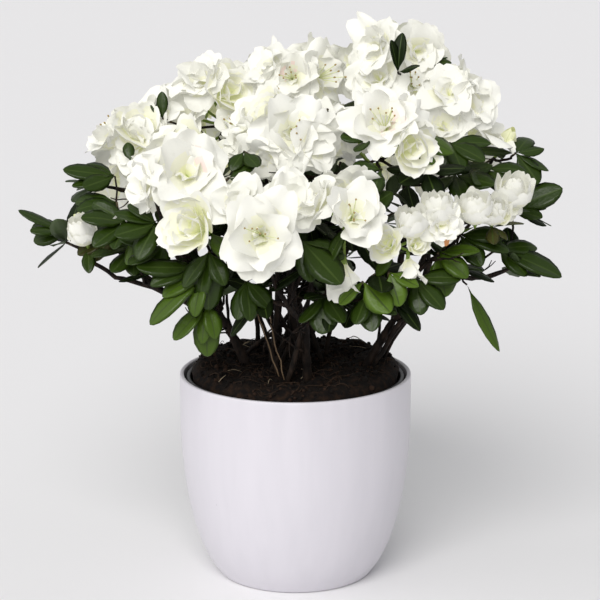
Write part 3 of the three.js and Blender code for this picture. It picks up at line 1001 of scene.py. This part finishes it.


# %% [markdown]
# ## The flowers that are listed one by one
# The dome is a crowd, but some flowers stand out and give this plant its face. Some are set by the
# clump they belong to and the way they face, others by their place too, where a few millimetres
# count. The rest fill in around them.

# %% Flowers listed one by one
# Clump, azimuth, elevation, diameter in mm, kind, and a blush if it has one.
BY_DIRECTION = [
    ("bloom_top", 262, 22, 46, "open", BLUSH),
    ("bloom_top", 318, 22, 50, "open", None),
    ("bloom_top", 215, 31, 46, "double", None),
    ("bloom_top", 20, 40, 46, "double", None),
    ("bloom_top_left", 238, 48, 48, "double", None),
    ("bloom_top_left", 300, 30, 48, "cup", None),
    ("bloom_top_left", 180, 55, 46, "double", None),
    ("bloom_middle", 276, 12, 52, "open", None),
    ("bloom_middle", 205, 42, 48, "cup", None),
    ("bloom_middle", 245, -22, 46, "double", None),
    ("bloom_middle", 305, -6, 46, "double", None),
    ("bloom_upper_right", 262, 42, 58, "open", BLUSH),
    ("bloom_upper_right", 338, 34, 50, "double", None),
    ("bloom_upper_right", 305, 0, 44, "cup", None),
    ("bloom_upper_right", 90, 60, 46, "double", None),
    ("bloom_right_shoulder", 312, 24, 44, "double", None),
    ("bloom_right_shoulder", 262, 45, 46, "double", None),
    ("bloom_left_shoulder", 275, 50, 46, "cup", None),
    ("bloom_upper_left", 273, 26, 64, "double", BLUSH),
    ("bloom_upper_left", 205, 2, 46, "double", None),
    ("bloom_front_right", 283, 30, 50, "open", None),
    ("bloom_front_right", 200, 34, 46, "double", None),
    ("bloom_front_right", 95, 60, 44, "double", None),
    ("leaf_right_tip_high", 300, 50, 15, "bud", None),
]
# Clump, place in mm, azimuth, elevation, diameter in mm, kind and blush: the crest, the left
# shoulder, the front, the row of half-open flowers at the right, the small ones at the left, and
# two spent ones.
BY_PLACE = [
    ("bloom_crest", (47, 2, 346), 228, 20, 49, "double", None),
    ("bloom_crest", (80, 2, 342), 288, 8, 48, "double", None),
    ("bloom_crest", (50, -4, 328), 248, 26, 46, "double", None),
    ("bloom_crest", (74, -2, 324), 275, 38, 46, "open", None),
    ("bloom_crest", (64, 34, 345), 70, 34, 46, "double", None),
    ("bloom_crest", (88, 24, 335), 350, 20, 44, "double", None),
    ("bloom_left_shoulder", (-102, -8, 286), 238, 26, 43, "double", None),
    ("bloom_left_shoulder", (-94, 12, 301), 235, 42, 44, "double", None),
    ("bloom_left_shoulder", (-74, 8, 303), 255, 46, 46, "double", None),
    ("bloom_front_left", (-67, -97, 252), 228, 22, 48, "cup", None),
    ("bloom_front_middle", (-20, -127, 250), 270, 8, 63, "open", None),
    ("bloom_front_middle", (-34, -100, 266), 250, 44, 46, "double", None),
    ("bloom_front_middle", (-2, -98, 267), 292, 40, 46, "double", None),
    ("bud_right_inner", (69, -86, 254), 256, 64, 27, "rosebud", None),
    ("bud_right_inner", (87, -78, 261), 264, 66, 28, "rosebud", None),
    ("bud_right_inner", (89, -84, 247), 276, 4, 30, "double", RUST),
    ("bud_right_inner", (54, -90, 239), 245, 24, 29, "cup", None),
    ("bud_right_inner", (75, -84, 237), 300, 28, 22, "cup", None),
    ("bud_right_outer", (109, -68, 259), 262, 64, 29, "rosebud", None),
    ("bud_right_outer", (123, -60, 256), 280, 58, 25, "rosebud", None),
    ("bud_right_outer", (136, -44, 266), 285, 62, 29, "rosebud", None),
    ("bud_right_outer", (134, -42, 252), 290, -6, 24, "double", None),
    ("bud_left", (-133, -42, 238), 240, 62, 26, "rosebud", None),
    ("bud_left", (-117, -42, 248), 250, 65, 20, "rosebud", None),
    ("bud_left", (-136, -20, 241), 180, 40, 15, "bud", None),
    ("bloom_front_right", (28, -94, 208), 262, -58, 36, "spent", None),
    ("bloom_front_right", (70, -82, 213), 280, -62, 27, "spent", RUST),
]
print(len(BY_DIRECTION), "flowers by direction and", len(BY_PLACE), "by place")

# %% [markdown]
# ## Filling the dome
# An azalea flowers wherever light reaches the crown. So light is sent in, as rays from all round,
# and each ray stops at the first clump it meets. A flower may open there if it is far enough from
# the flowers already there. It faces half along the clump's skin and half away from the heart.

# %% Rays of light
LIGHT_ROUNDS = range(0, 360, 24)
LIGHT_RISES = (6, 36, 70)
RAY_GAP = 15 * MM
RAY_SHIFT = 6  # the most that a ray is off its place in the grid, in mm
RAYS_ASIDE, RAYS_ABOVE = 12, 9  # rays on each side of the middle one, and above and below it
RAY_START = 0.5  # how far out a ray begins, in metres
CROWN_LIFT = 265 * MM  # the height that the rays are aimed round
SKIN = 0.84  # how much of a clump's size the flowers' rims lie at
centres = np.array([c.centre for c in BLOSSOM_CLUMPS])
halves = np.array([c.half for c in BLOSSOM_CLUMPS]) * SKIN


def first_clump(start, heading):
    """The clump that a ray meets first, and the place and the skin's outward direction there."""
    # Measured in its own half sizes, each clump is a ball with a radius of 1.
    a, b = heading / halves, (start - centres) / halves
    square, cross, rest = (a * a).sum(1), (a * b).sum(1), (b * b).sum(1) - 1
    inside = cross**2 - square * rest
    reach = np.where(inside > 0, (-cross - np.sqrt(np.abs(inside))) / square, np.inf)
    i = reach.argmin()
    if not np.isfinite(reach[i]):
        return None
    place = start + reach[i] * heading
    return BLOSSOM_CLUMPS[i], place, unit((place - centres[i]) / halves[i] ** 2)


print(len(LIGHT_ROUNDS) * len(LIGHT_RISES), "directions of light")

# %% Listed flowers, then flowers by rule
FLOWER_SEED = 5
CROWN_TOP = 331 * MM  # no flower's middle is higher
CLOSENESS = 0.28  # least distance between two flowers, as a share of both diameters together
RIM_SHARE = 0.88  # of the way out to a clump's skin, where a flower set by its direction has its rim
BUD_ROOM = 1.5  # buds stand farther apart
TOP_ROOM = 0.72  # flowers above the top level stand closer
TOP_LEVEL = 285 * MM
UNDERSIDE_FROM = -0.45  # skin that faces down more than this bears no flowers
chance = np.random.default_rng(FLOWER_SEED)
FULL = {  # clumps that get no more than the flowers placed by hand
    "bud_left", "bud_right_inner", "bud_right_outer", "bloom_front_left", "bloom_front_middle",
    "bloom_front_right", "bloom_upper_right", "bloom_crest",
}
flowers = []  # clump, place, axis, diameter, kind, blush


def crowded(place, diameter):
    """Whether a flower of a diameter would be too close to another."""
    return any(
        np.linalg.norm(place - other) < CLOSENESS * (diameter + size)
        for _, other, _, size, _, _ in flowers
    )


for name, azimuth, elevation, size, kind, blush in BY_DIRECTION:
    clump = CLUMPS[name]
    direction = towards(azimuth, elevation)
    place = clump.surface(direction, RIM_SHARE)
    flowers.append((clump, place, direction, size * MM, kind, blush))
for name, place, azimuth, elevation, size, kind, blush in BY_PLACE:
    direction = towards(azimuth, elevation)
    flowers.append((CLUMPS[name], np.array(place) * MM, direction, size * MM, kind, blush))
hand_placed = len(flowers)

hits = []
for azimuth in LIGHT_ROUNDS:
    for rise in LIGHT_RISES:
        heading = -towards(azimuth, rise)
        rows = axes_along(heading, [0, 0, 1])
        for across in np.arange(-RAYS_ASIDE, RAYS_ASIDE + 1) * RAY_GAP:
            for upward in np.arange(-RAYS_ABOVE, RAYS_ABOVE + 1) * RAY_GAP:
                sideways = rows[0] * (across + chance.uniform(-RAY_SHIFT, RAY_SHIFT) * MM)
                shift = sideways + rows[2] * (upward + chance.uniform(-RAY_SHIFT, RAY_SHIFT) * MM)
                hit = first_clump(shift - heading * RAY_START + [0, 0, CROWN_LIFT], heading)
                if hit is None:
                    continue
                _, place, skin = hit
                if skin[2] > UNDERSIDE_FROM and place[2] < CROWN_TOP:
                    hits.append(hit)
for i in chance.permutation(len(hits)):
    clump, place, skin = hits[i]
    is_bud = clump.node.startswith("bud_")
    size = (chance.uniform(20, 30) if is_bud else chance.uniform(40, 54)) * MM
    room = BUD_ROOM if is_bud else TOP_ROOM if place[2] > TOP_LEVEL else 1
    if clump.node in FULL or crowded(place, size * room):
        continue
    kinds = ["rosebud", "cup"] if is_bud else ["double", "double", "double", "open", "cup"]
    axis = unit(0.5 * skin + 0.5 * unit(place - CROWN_HEART) + [0, 0, 0.1] + chance.normal(0, 0.27, 3))
    flowers.append((clump, place, axis, size, str(chance.choice(kinds)), None))
print(len(hits), "lit places,", hand_placed, "flowers by hand,", len(flowers) - hand_placed, "by rule")

# %% The flowers
BACK_EDGE = 30 * MM  # clumps whose centres lie farther back are in the back pieces
HIGH_CLUMPS = 280 * MM  # clumps whose centres lie higher are in the top and back pieces
blossom = {part: Pile("blossom_" + part, petal_looks) for part in ("front", "top", "back", "rim")}
stalks = Pile("flower_stalks_and_stamens", petal_looks)
chance = np.random.default_rng(FLOWER_SEED + 1)
bases = []
shown_in = {part: set() for part in blossom}
for clump, place, axis, size, kind, blush in flowers:
    high = clump.centre[2] > HIGH_CLUMPS
    if clump.centre[1] > BACK_EDGE:
        part = "back" if high else "rim"
    else:
        part = "top" if high else "front"
    base = add_flower(blossom[part], stalks, place, axis, size, kind, chance, blush, clump.hub)
    bases.append((clump, base, axis, size))
    if clump in BLOSSOM_CLUMPS:
        shown_in[part].add(clump.node)
for part, pile in blossom.items():
    pile.build("blossom", sorted(shown_in[part]))
stalks.build("blossom", [])

# %% [markdown]
# ## Leaves
# Under each flower a rosette of leaves stands out sideways, and mostly only their tips show. The
# leafy clumps are sprays of their own at the ends of twigs, and they make the ragged skirt of the
# crown. Colours are dealt out by spray: mostly deep green, some fresher, and for the sprays in the
# crown's shade a nearly black green, which is painted shade.

# %% Rosettes under the flowers
LEAF_SEED = 21
chance = np.random.default_rng(LEAF_SEED)
leaves = {"front": Pile("leaves_front", leaf_looks), "back": Pile("leaves_back", leaf_looks)}


def spray_look(chance, bright):
    """One colour for a whole spray. Bright is the share of sprays in fresh green."""
    shares = [0.6 - bright / 2, 0.35 - bright / 2, bright, 0.05]
    return int(chance.choice([DEEP, GREEN, BRIGHT, BROWN], p=shares))


def leaf_facing(along, tilt, chance):
    """The side a leaf turns up: skywards, and a little out towards the light."""
    out = unit(along * [1, 1, 0] + 1e-6)
    upward = np.array([0, 0, 1.0]) - along * along[2] + out * 1e-3
    return unit(unit(upward) + tilt + chance.normal(0, 0.22, 3))


BOWL_DEPTH = 0.55  # of a flower's diameter
BOWL_RADIUS = 0.42


def in_a_flower(point):
    """Whether a point lies in the bowl of a flower, or just in front of it."""
    for _, base, axis, size in bases:
        gap = point - base
        along = gap @ axis
        sideways = np.linalg.norm(gap - along * axis)
        if -2 * MM < along < size * BOWL_DEPTH and sideways < size * BOWL_RADIUS:
            return True
    return False


def add_rosette(pile, place, axis, count, length, spread, look, tilt, chance):
    """Leaves round a point, at an angle from the axis in degrees."""
    across = unit(np.cross(axis, [0.3, 0.5, 0.81]))
    other = np.cross(axis, across)
    spin = chance.uniform(0, 2 * np.pi)
    for i in range(count):
        angle = spin + i * 2.4 + chance.normal(0, 0.2)
        lean = math.radians(spread + chance.normal(0, 13))
        side = math.cos(angle) * across + math.sin(angle) * other
        along = math.cos(lean) * axis + math.sin(lean) * side
        size = length * chance.uniform(0.7, 1.15)
        if any(in_a_flower(place + along * size * share) for share in (0.4, 0.7, 1.0)):
            continue  # it would cross a flower
        facing = leaf_facing(along, tilt, chance)
        add_leaf(pile, place, along, facing, size, size * chance.uniform(0.42, 0.55), look, chance)


UPPER_CLUMPS = 275 * MM  # above this height a rosette's leaves are fewer and shorter
for clump, base, axis, size in bases:
    upper = clump.centre[2] > UPPER_CLUMPS
    count = int(chance.integers(4, 7) if upper else chance.integers(5, 8))
    length = chance.uniform(23, 30) * MM if upper else chance.uniform(26, 33) * MM
    pile = leaves["back" if clump.centre[1] > BACK_EDGE else "front"]
    length = min(length, 0.75 * size)
    tilt = 0.3 * clump.outward
    foot = base - axis * 3 * MM
    add_rosette(pile, foot, axis, count, length, 80, spray_look(chance, 0.08), tilt, chance)
print("rosettes under", len(bases), "flowers")

# %% Leafy shoots listed one by one
# A shoot's end in mm, the colour of its leaves (a nearly black painted shade for those in the
# crown's shade), then each leaf: azimuth, rise, length and width.
# They run from the left round the front to the right, with the tips that stand in the dome last.
LEAF_FULLNESS = 1.12  # the leaves grow this much wider than the list says
SHOOTS = [
    ((-114, -8, 264), DEEP, [(183, 8, 33, 13), (178, 2, 26, 12), (192, -10, 28, 9),
                             (150, 10, 28, 13), (215, -12, 24, 12)]),
    ((-112, -22, 250), DEEP, [(200, -30, 27, 14), (185, -8, 26, 12), (225, -35, 25, 13),
                              (170, 0, 28, 12)]),
    ((-146, -6, 228), DEEP, [(180, 24, 33, 10), (185, -14, 22, 13), (165, 5, 24, 12), (205, 8, 24, 11)]),
    ((-112, -30, 234), BROWN, [(195, -30, 29, 15), (215, -45, 25, 13), (180, -5, 30, 13),
                               (240, -30, 22, 12)]),
    ((-88, -55, 243), GREEN, [(205, -52, 30, 14), (235, -60, 25, 12), (190, -20, 28, 12),
                              (260, -40, 22, 11)]),
    ((-100, -40, 226), DEEP, [(200, -8, 29, 12), (235, -30, 26, 13), (175, 5, 26, 10),
                              (270, -45, 22, 12)]),
    ((-80, -62, 232), DEEP, [(215, -20, 28, 13), (190, 8, 28, 11), (250, -50, 24, 13)]),
    ((-84, -70, 246), DEEP, [(205, -10, 28, 14), (180, 15, 27, 12), (235, -42, 27, 14),
                             (160, 30, 22, 12)]),
    ((-104, -48, 242), DEEP, [(195, 12, 29, 14), (220, -22, 28, 14), (170, 30, 25, 12),
                              (250, -30, 24, 13)]),
    ((-102, -20, 218), PAINTED_SHADE, [(183, 0, 30, 4), (205, -25, 18, 5)]),
    ((-86, -24, 207), PAINTED_SHADE, [(196, -14, 27, 5), (170, 8, 22, 5)]),
    ((-60, -72, 219), DEEP, [(190, 3, 37, 13), (200, -14, 31, 12), (170, 0, 26, 11)]),
    ((-52, -80, 231), DEEP, [(205, -50, 27, 13), (262, -82, 37, 17), (225, -72, 30, 14),
                             (310, -50, 24, 12)]),
    ((-55, -78, 217), GREEN, [(200, -37, 46, 14), (188, -25, 30, 13), (240, -60, 28, 13)]),
    ((-54, -74, 198), GREEN, [(205, -45, 31, 15), (250, -70, 26, 11), (266, -85, 35, 16),
                              (300, -60, 24, 12)]),
    ((-30, -80, 213), DEEP, [(240, -65, 25, 13), (285, -60, 26, 13), (330, -40, 24, 12)]),
    ((4, -96, 241), DEEP, [(320, -36, 38, 20), (300, -62, 26, 13), (355, -20, 28, 13)]),
    ((18, -76, 203), DEEP, [(262, -60, 25, 17), (305, -35, 24, 13), (215, -40, 24, 13)]),
    ((41, -88, 214), BRIGHT, [(325, -40, 26, 16), (200, -40, 20, 11)]),
    ((44, -82, 205), DEEP, [(285, -62, 24, 14), (240, -45, 22, 12), (340, -30, 22, 12)]),
    ((57, -84, 219), BRIGHT, [(308, -62, 22, 14), (350, -25, 20, 11)]),
    ((74, -70, 212), DEEP, [(358, 2, 28, 12), (320, -38, 27, 14), (280, -55, 24, 13)]),
    ((88, -60, 226), GREEN, [(350, 8, 26, 11), (300, -72, 28, 18), (325, -30, 25, 13)]),
    ((102, -45, 234), DEEP, [(352, 2, 29, 13), (345, -12, 33, 14), (310, -40, 26, 14)]),
    ((128, -22, 220), DEEP, [(352, -22, 44, 19), (20, 0, 28, 12), (325, -32, 26, 13)]),
    ((138, -8, 243), DEEP, [(358, 24, 34, 17), (4, 3, 22, 7), (30, 10, 26, 12), (325, -10, 22, 10)]),
    ((108, -32, 199), GREEN, [(338, -62, 47, 10)]),
    ((140, 2, 277), DEEP, [(182, 3, 26, 9), (325, -45, 25, 14), (352, -28, 24, 9),
                           (60, 20, 24, 12), (20, 5, 20, 9)]),
    ((76, -52, 298), GREEN, [(345, -25, 24, 17), (300, -50, 22, 13)]),
    ((96, -30, 289), DEEP, [(2, 0, 26, 11), (330, -20, 26, 13), (290, -35, 24, 13)]),
    ((64, -15, 331), PAINTED_SHADE, [(60, 80, 25, 9), (205, 76, 21, 9), (330, 20, 16, 7)]),
    ((100, -24, 268), DEEP, [(330, -8, 28, 14), (280, -30, 26, 15), (20, 10, 26, 12),
                             (230, -20, 25, 12)]),
    ((120, -14, 270), DEEP, [(300, -20, 28, 14), (250, -12, 27, 14), (350, 0, 26, 12),
                             (200, 10, 24, 12)]),
    ((80, -50, 276), PAINTED_SHADE, [(230, -10, 26, 13), (290, -40, 26, 14), (340, 5, 26, 13), (180, 0, 24, 12)]),
    ((83, 8, 333), DEEP, [(350, 5, 16, 7), (15, 18, 15, 6)]),
    ((-84, 4, 299), DEEP, [(100, 78, 17, 7), (150, 50, 13, 6)]),
    ((-103, -22, 276), DEEP, [(110, 60, 13, 7)]),
    ((-31, -68, 290), DEEP, [(300, -20, 19, 10), (235, -35, 16, 9)]),
    ((-40, -80, 276), DEEP, [(20, 25, 19, 10), (340, -5, 16, 9)]),
    ((20, -48, 313), PAINTED_SHADE, [(280, -70, 24, 9)]),
    ((46, -66, 298), DEEP, [(190, 5, 19, 10), (225, -25, 16, 8)]),
    ((52, -78, 281), DEEP, [(190, 10, 18, 10), (240, -50, 17, 10)]),
]
TO_THE_LIGHT = np.array([-0.1, -0.7, 0.1])
shoot_ends = []
for place, look, blades in SHOOTS:
    place = np.array(place) * MM
    for azimuth, rise, length, width in blades:
        along = towards(azimuth, rise)
        facing = leaf_facing(along, TO_THE_LIGHT, chance)
        width = LEAF_FULLNESS * width * MM
        add_leaf(leaves["front"], place, along, facing, length * MM, width, look, chance)
    shoot_ends.append(place)
print(len(SHOOTS), "shoots by hand with", sum(len(blades) for _, _, blades in SHOOTS), "leaves")

# %% Leafy sprays by rule
# A clump that has listed shoots gets one more spray, in painted shade. The hanging leaves are in the list
# only.
SMALL_CLUMP = 12 * MM
hand_ends = list(shoot_ends)
for clump in LEAF_CLUMPS:
    pile = leaves["back" if clump.centre[1] > BACK_EDGE else "front"]
    if "hanging" in clump.node:
        continue
    by_hand = any(clump.holds(end, 1.2) for end in hand_ends)
    single = by_hand or clump.half.min() < SMALL_CLUMP
    heads = 4 if clump.node.startswith("leaf_back") else 1 if single else 2
    for h in range(heads):
        place = clump.hub + chance.normal(0, 0.4, 3) * clump.half * (heads > 1)
        axis = unit(0.6 * clump.outward + [0, 0, 0.8] + chance.normal(0, 0.2, 3))
        # Painted shade: the extra spray behind listed shoots gets the nearly black green.
        look = PAINTED_SHADE if by_hand else spray_look(chance, 0.15)
        count = int(chance.integers(5, 8))
        length = min(30 * MM, clump.half.max() * 1.25)
        add_rosette(pile, place, axis, count, length, 75, look, 0.35 * clump.outward, chance)
        shoot_ends.append(place)
print(len(shoot_ends) - len(hand_ends), "sprays by rule")

# %% Leaves inside the crown, coloured in painted shade
SHADED_SHOOTS = 62
for i in range(SHADED_SHOOTS):
    angle = chance.uniform(0, 2 * np.pi)
    height = chance.uniform(178, 268) * MM
    reach = chance.uniform(15, 92 if height > 205 * MM else 62) * MM
    place = np.array([reach * math.cos(angle), reach * math.sin(angle), height])
    axis = unit([math.cos(angle) * 0.6, math.sin(angle) * 0.6, 0.8] + chance.normal(0, 0.2, 3))
    pile = leaves["back" if place[1] > BACK_EDGE else "front"]
    add_rosette(pile, place, axis, 6, 29 * MM, 78, PAINTED_SHADE, 0.2 * axis, chance)
    shoot_ends.append(place)
for part, pile in leaves.items():
    held = [c.node for c in LEAF_CLUMPS if (c.centre[1] > BACK_EDGE) == (part == "back")]
    pile.build("leaves", held)

# %% [markdown]
# ## Twigs
# Each clump hangs on the wood: a twig leaves the nearest bough, or carries on from the one that
# ends there, and at the hub it forks to every flower. A shoot of leaves has a twig from the nearest
# wood or hub, unless a listed one ends there. Dead side twigs fill the shade under the dome.

# %% Twigs that show, listed one by one
# Radius at the foot and at the tip, and path, in mm: the long arcs to the left rim, the hanging
# leaf's twig, the doubled stem and the cut stub at the right, two dry straws and a loop in the
# middle, and the twig of the shoot in the crest.
OLD, YOUNG, STRAW = range(3)
TWIG_LINES = [
    (1.9, 1.0, OLD, [(-48, -12, 176), (-87, -12, 192), (-110, -10, 197),
                     (-128, -8, 207), (-138, -7, 218), (-146, -6, 228)]),
    (1.4, 0.8, OLD, [(-48, -14, 178), (-80, -18, 196), (-95, -20, 202),
                     (-106, -24, 216), (-112, -30, 234)]),
    (1.1, 0.6, OLD, [(-60, -12, 182), (-95, -16, 205), (-112, -14, 228), (-114, -8, 264)]),
    (0.7, 0.4, OLD, [(-70, -20, 187), (-90, -30, 205), (-98, -40, 222), (-88, -55, 243)]),
    (1.0, 0.7, OLD, [(98, -30, 216), (102, -31, 207), (108, -32, 199)]),
    (1.7, 1.0, OLD, [(50, -12, 140), (62, -14, 162), (78, -18, 182), (92, -24, 205), (104, -34, 228)]),
    (1.3, 0.7, OLD, [(56, -2, 142), (70, -6, 168), (90, -10, 192), (112, -16, 208), (128, -22, 220)]),
    (1.5, 1.4, OLD, [(60, -14, 160), (67, -18, 172), (74, -19, 176)]),
    (0.5, 0.45, STRAW, [(-24, -20, 178), (-18, -24, 160), (-10, -30, 137)]),
    (0.5, 0.45, STRAW, [(-17, -22, 180), (-13, -26, 160), (-7, -32, 137)]),
    (0.6, 0.5, OLD, [(-20, -12, 150), (-18, -12, 163), (-10, -13, 169), (-2, -14, 164), (3, -16, 144)]),
    (0.9, 0.7, OLD, [(67, 12, 316), (66, -2, 327), (64, -15, 331)]),
]
print(len(TWIG_LINES), "twigs by hand")

# %% Twigs to every clump and every shoot
TWIG_SEED = 31
chance = np.random.default_rng(TWIG_SEED)
twig_looks = [
    limbs.data.materials[0],
    plain_material("young_twig", (0.07, 0.05, 0.022), 0.7, 0.3, 600),
    plain_material("dry_straw", (0.17, 0.11, 0.06), 0.7, 0.2, 600),
]
twigs = Pile("twigs", twig_looks)
wood_points = np.vstack([line for line, _ in BOUGHS.values()] + [line[2:] for line, _ in STEMS.values()])
bough_tips = np.array([line[-1] for line, _ in BOUGHS.values()])
hubs = np.array([clump.hub for clump in CLUMPS.values() if "hanging" not in clump.node])
# A twig runs up and outwards, so a start above or outside its end counts as this much farther off.
WRONG_WAY = 30 * MM


def nearest(points, place, least=0.0):
    """The nearest point that a twig to a place can start from, at least so far away."""
    cost = np.linalg.norm(points - place, axis=1) + np.where(points[:, 2] > place[2], WRONG_WAY, 0)
    outside = np.hypot(points[:, 0], points[:, 1]) > math.hypot(place[0], place[1])
    cost = cost + np.where(outside, WRONG_WAY, 0)
    cost = np.where(cost < least, np.inf, cost)
    return points[cost.argmin()]


for clump in CLUMPS.values():
    if "hanging" in clump.node:
        continue
    tip_gap = np.linalg.norm(bough_tips - clump.centre, axis=1)
    near_tip = tip_gap.min() < clump.half.max() * 1.3
    start = bough_tips[tip_gap.argmin()] if near_tip else nearest(wood_points, clump.hub)
    sag = np.array([0, 0, -0.08 * np.linalg.norm(clump.hub - start)])
    path = bowed_path(start, clump.hub, sag, 7, 0.5 * MM, chance)
    add_tube(twigs, path, np.linspace(1.5, 1.0, 8) * MM, OLD)
ends_by_hand = [np.array(line[-1]) * MM for _, _, _, line in TWIG_LINES]
for place in shoot_ends:
    if min(np.linalg.norm(place - end) for end in ends_by_hand) < 1 * MM:
        continue
    start = nearest(np.vstack([wood_points, hubs]), place, 6 * MM)
    sag = np.array([0, 0, -0.1 * np.linalg.norm(place - start)])
    path = bowed_path(start, place, sag, 7, 0.5 * MM, chance)
    add_tube(twigs, path, np.linspace(1.05, 0.75, 8) * MM, OLD)
    add_tube(twigs, path[-2:], np.array([0.85, 0.8]) * MM, YOUNG)

# %% The listed twigs, smoothed at their bends
for foot_radius, tip_radius, look, line in TWIG_LINES:
    line = np.array(line, float) * MM
    legs = np.linspace(0, len(line) - 1, 4 * len(line) - 3)
    path = np.stack([np.interp(legs, range(len(line)), line[:, k]) for k in range(3)], axis=1)
    path[1:-1] = (path[:-2] + path[1:-1] + path[2:]) / 3
    path[1:-1] += chance.normal(0, 0.35, (len(path) - 2, 3)) * MM
    add_tube(twigs, path, np.linspace(foot_radius, tip_radius, len(path)) * MM, look)

# %% Shoots from the root crown and side twigs in the shade
SHOOT_COUNT = 16
SIDE_TWIGS = 110
crown_clumps = [c for c in BLOSSOM_CLUMPS if c.centre[2] < 300 * MM]
for i in range(SHOOT_COUNT):
    azimuth = 137.5 * i + chance.uniform(-15, 15)
    foot = towards(azimuth, 0) * chance.uniform(6, 40) * MM
    foot[2] = peat_height(foot[0], foot[1]) - 2 * MM
    goal = crown_clumps[chance.integers(len(crown_clumps))].hub * [0.55, 0.55, 1]
    goal = goal + chance.normal(0, 6, 3) * MM
    path = bowed_path(foot, goal, [0, 0, -6 * MM], 9, 1.0 * MM, chance)
    add_tube(twigs, path, np.linspace(chance.uniform(1.3, 2.2), 0.9, 10) * MM, OLD)
for i in range(SIDE_TWIGS):
    start = wood_points[chance.integers(len(wood_points))]
    if start[0] > 40 * MM and start[2] < 200 * MM:
        continue  # the low wood at the right is bare
    heading = unit(start * [1, 1, 0] + chance.normal(0, 0.03, 3) + [0, 0, 0.035])
    end = start + heading * chance.uniform(14, 40) * MM
    path = bowed_path(start, end, chance.normal(0, 2.5, 3) * MM, 6, 0.5 * MM, chance)
    add_tube(twigs, path, np.linspace(0.8, 0.3, 7) * MM, OLD, 5)
    if chance.random() < 0.6:
        fork = path[3]
        end = fork + unit(heading + chance.normal(0, 0.5, 3)) * chance.uniform(8, 20) * MM
        path = bowed_path(fork, end, chance.normal(0, 1.5, 3) * MM, 4)
        add_tube(twigs, path, np.linspace(0.5, 0.28, 5) * MM, OLD, 5)
twigs.build("bark", [])
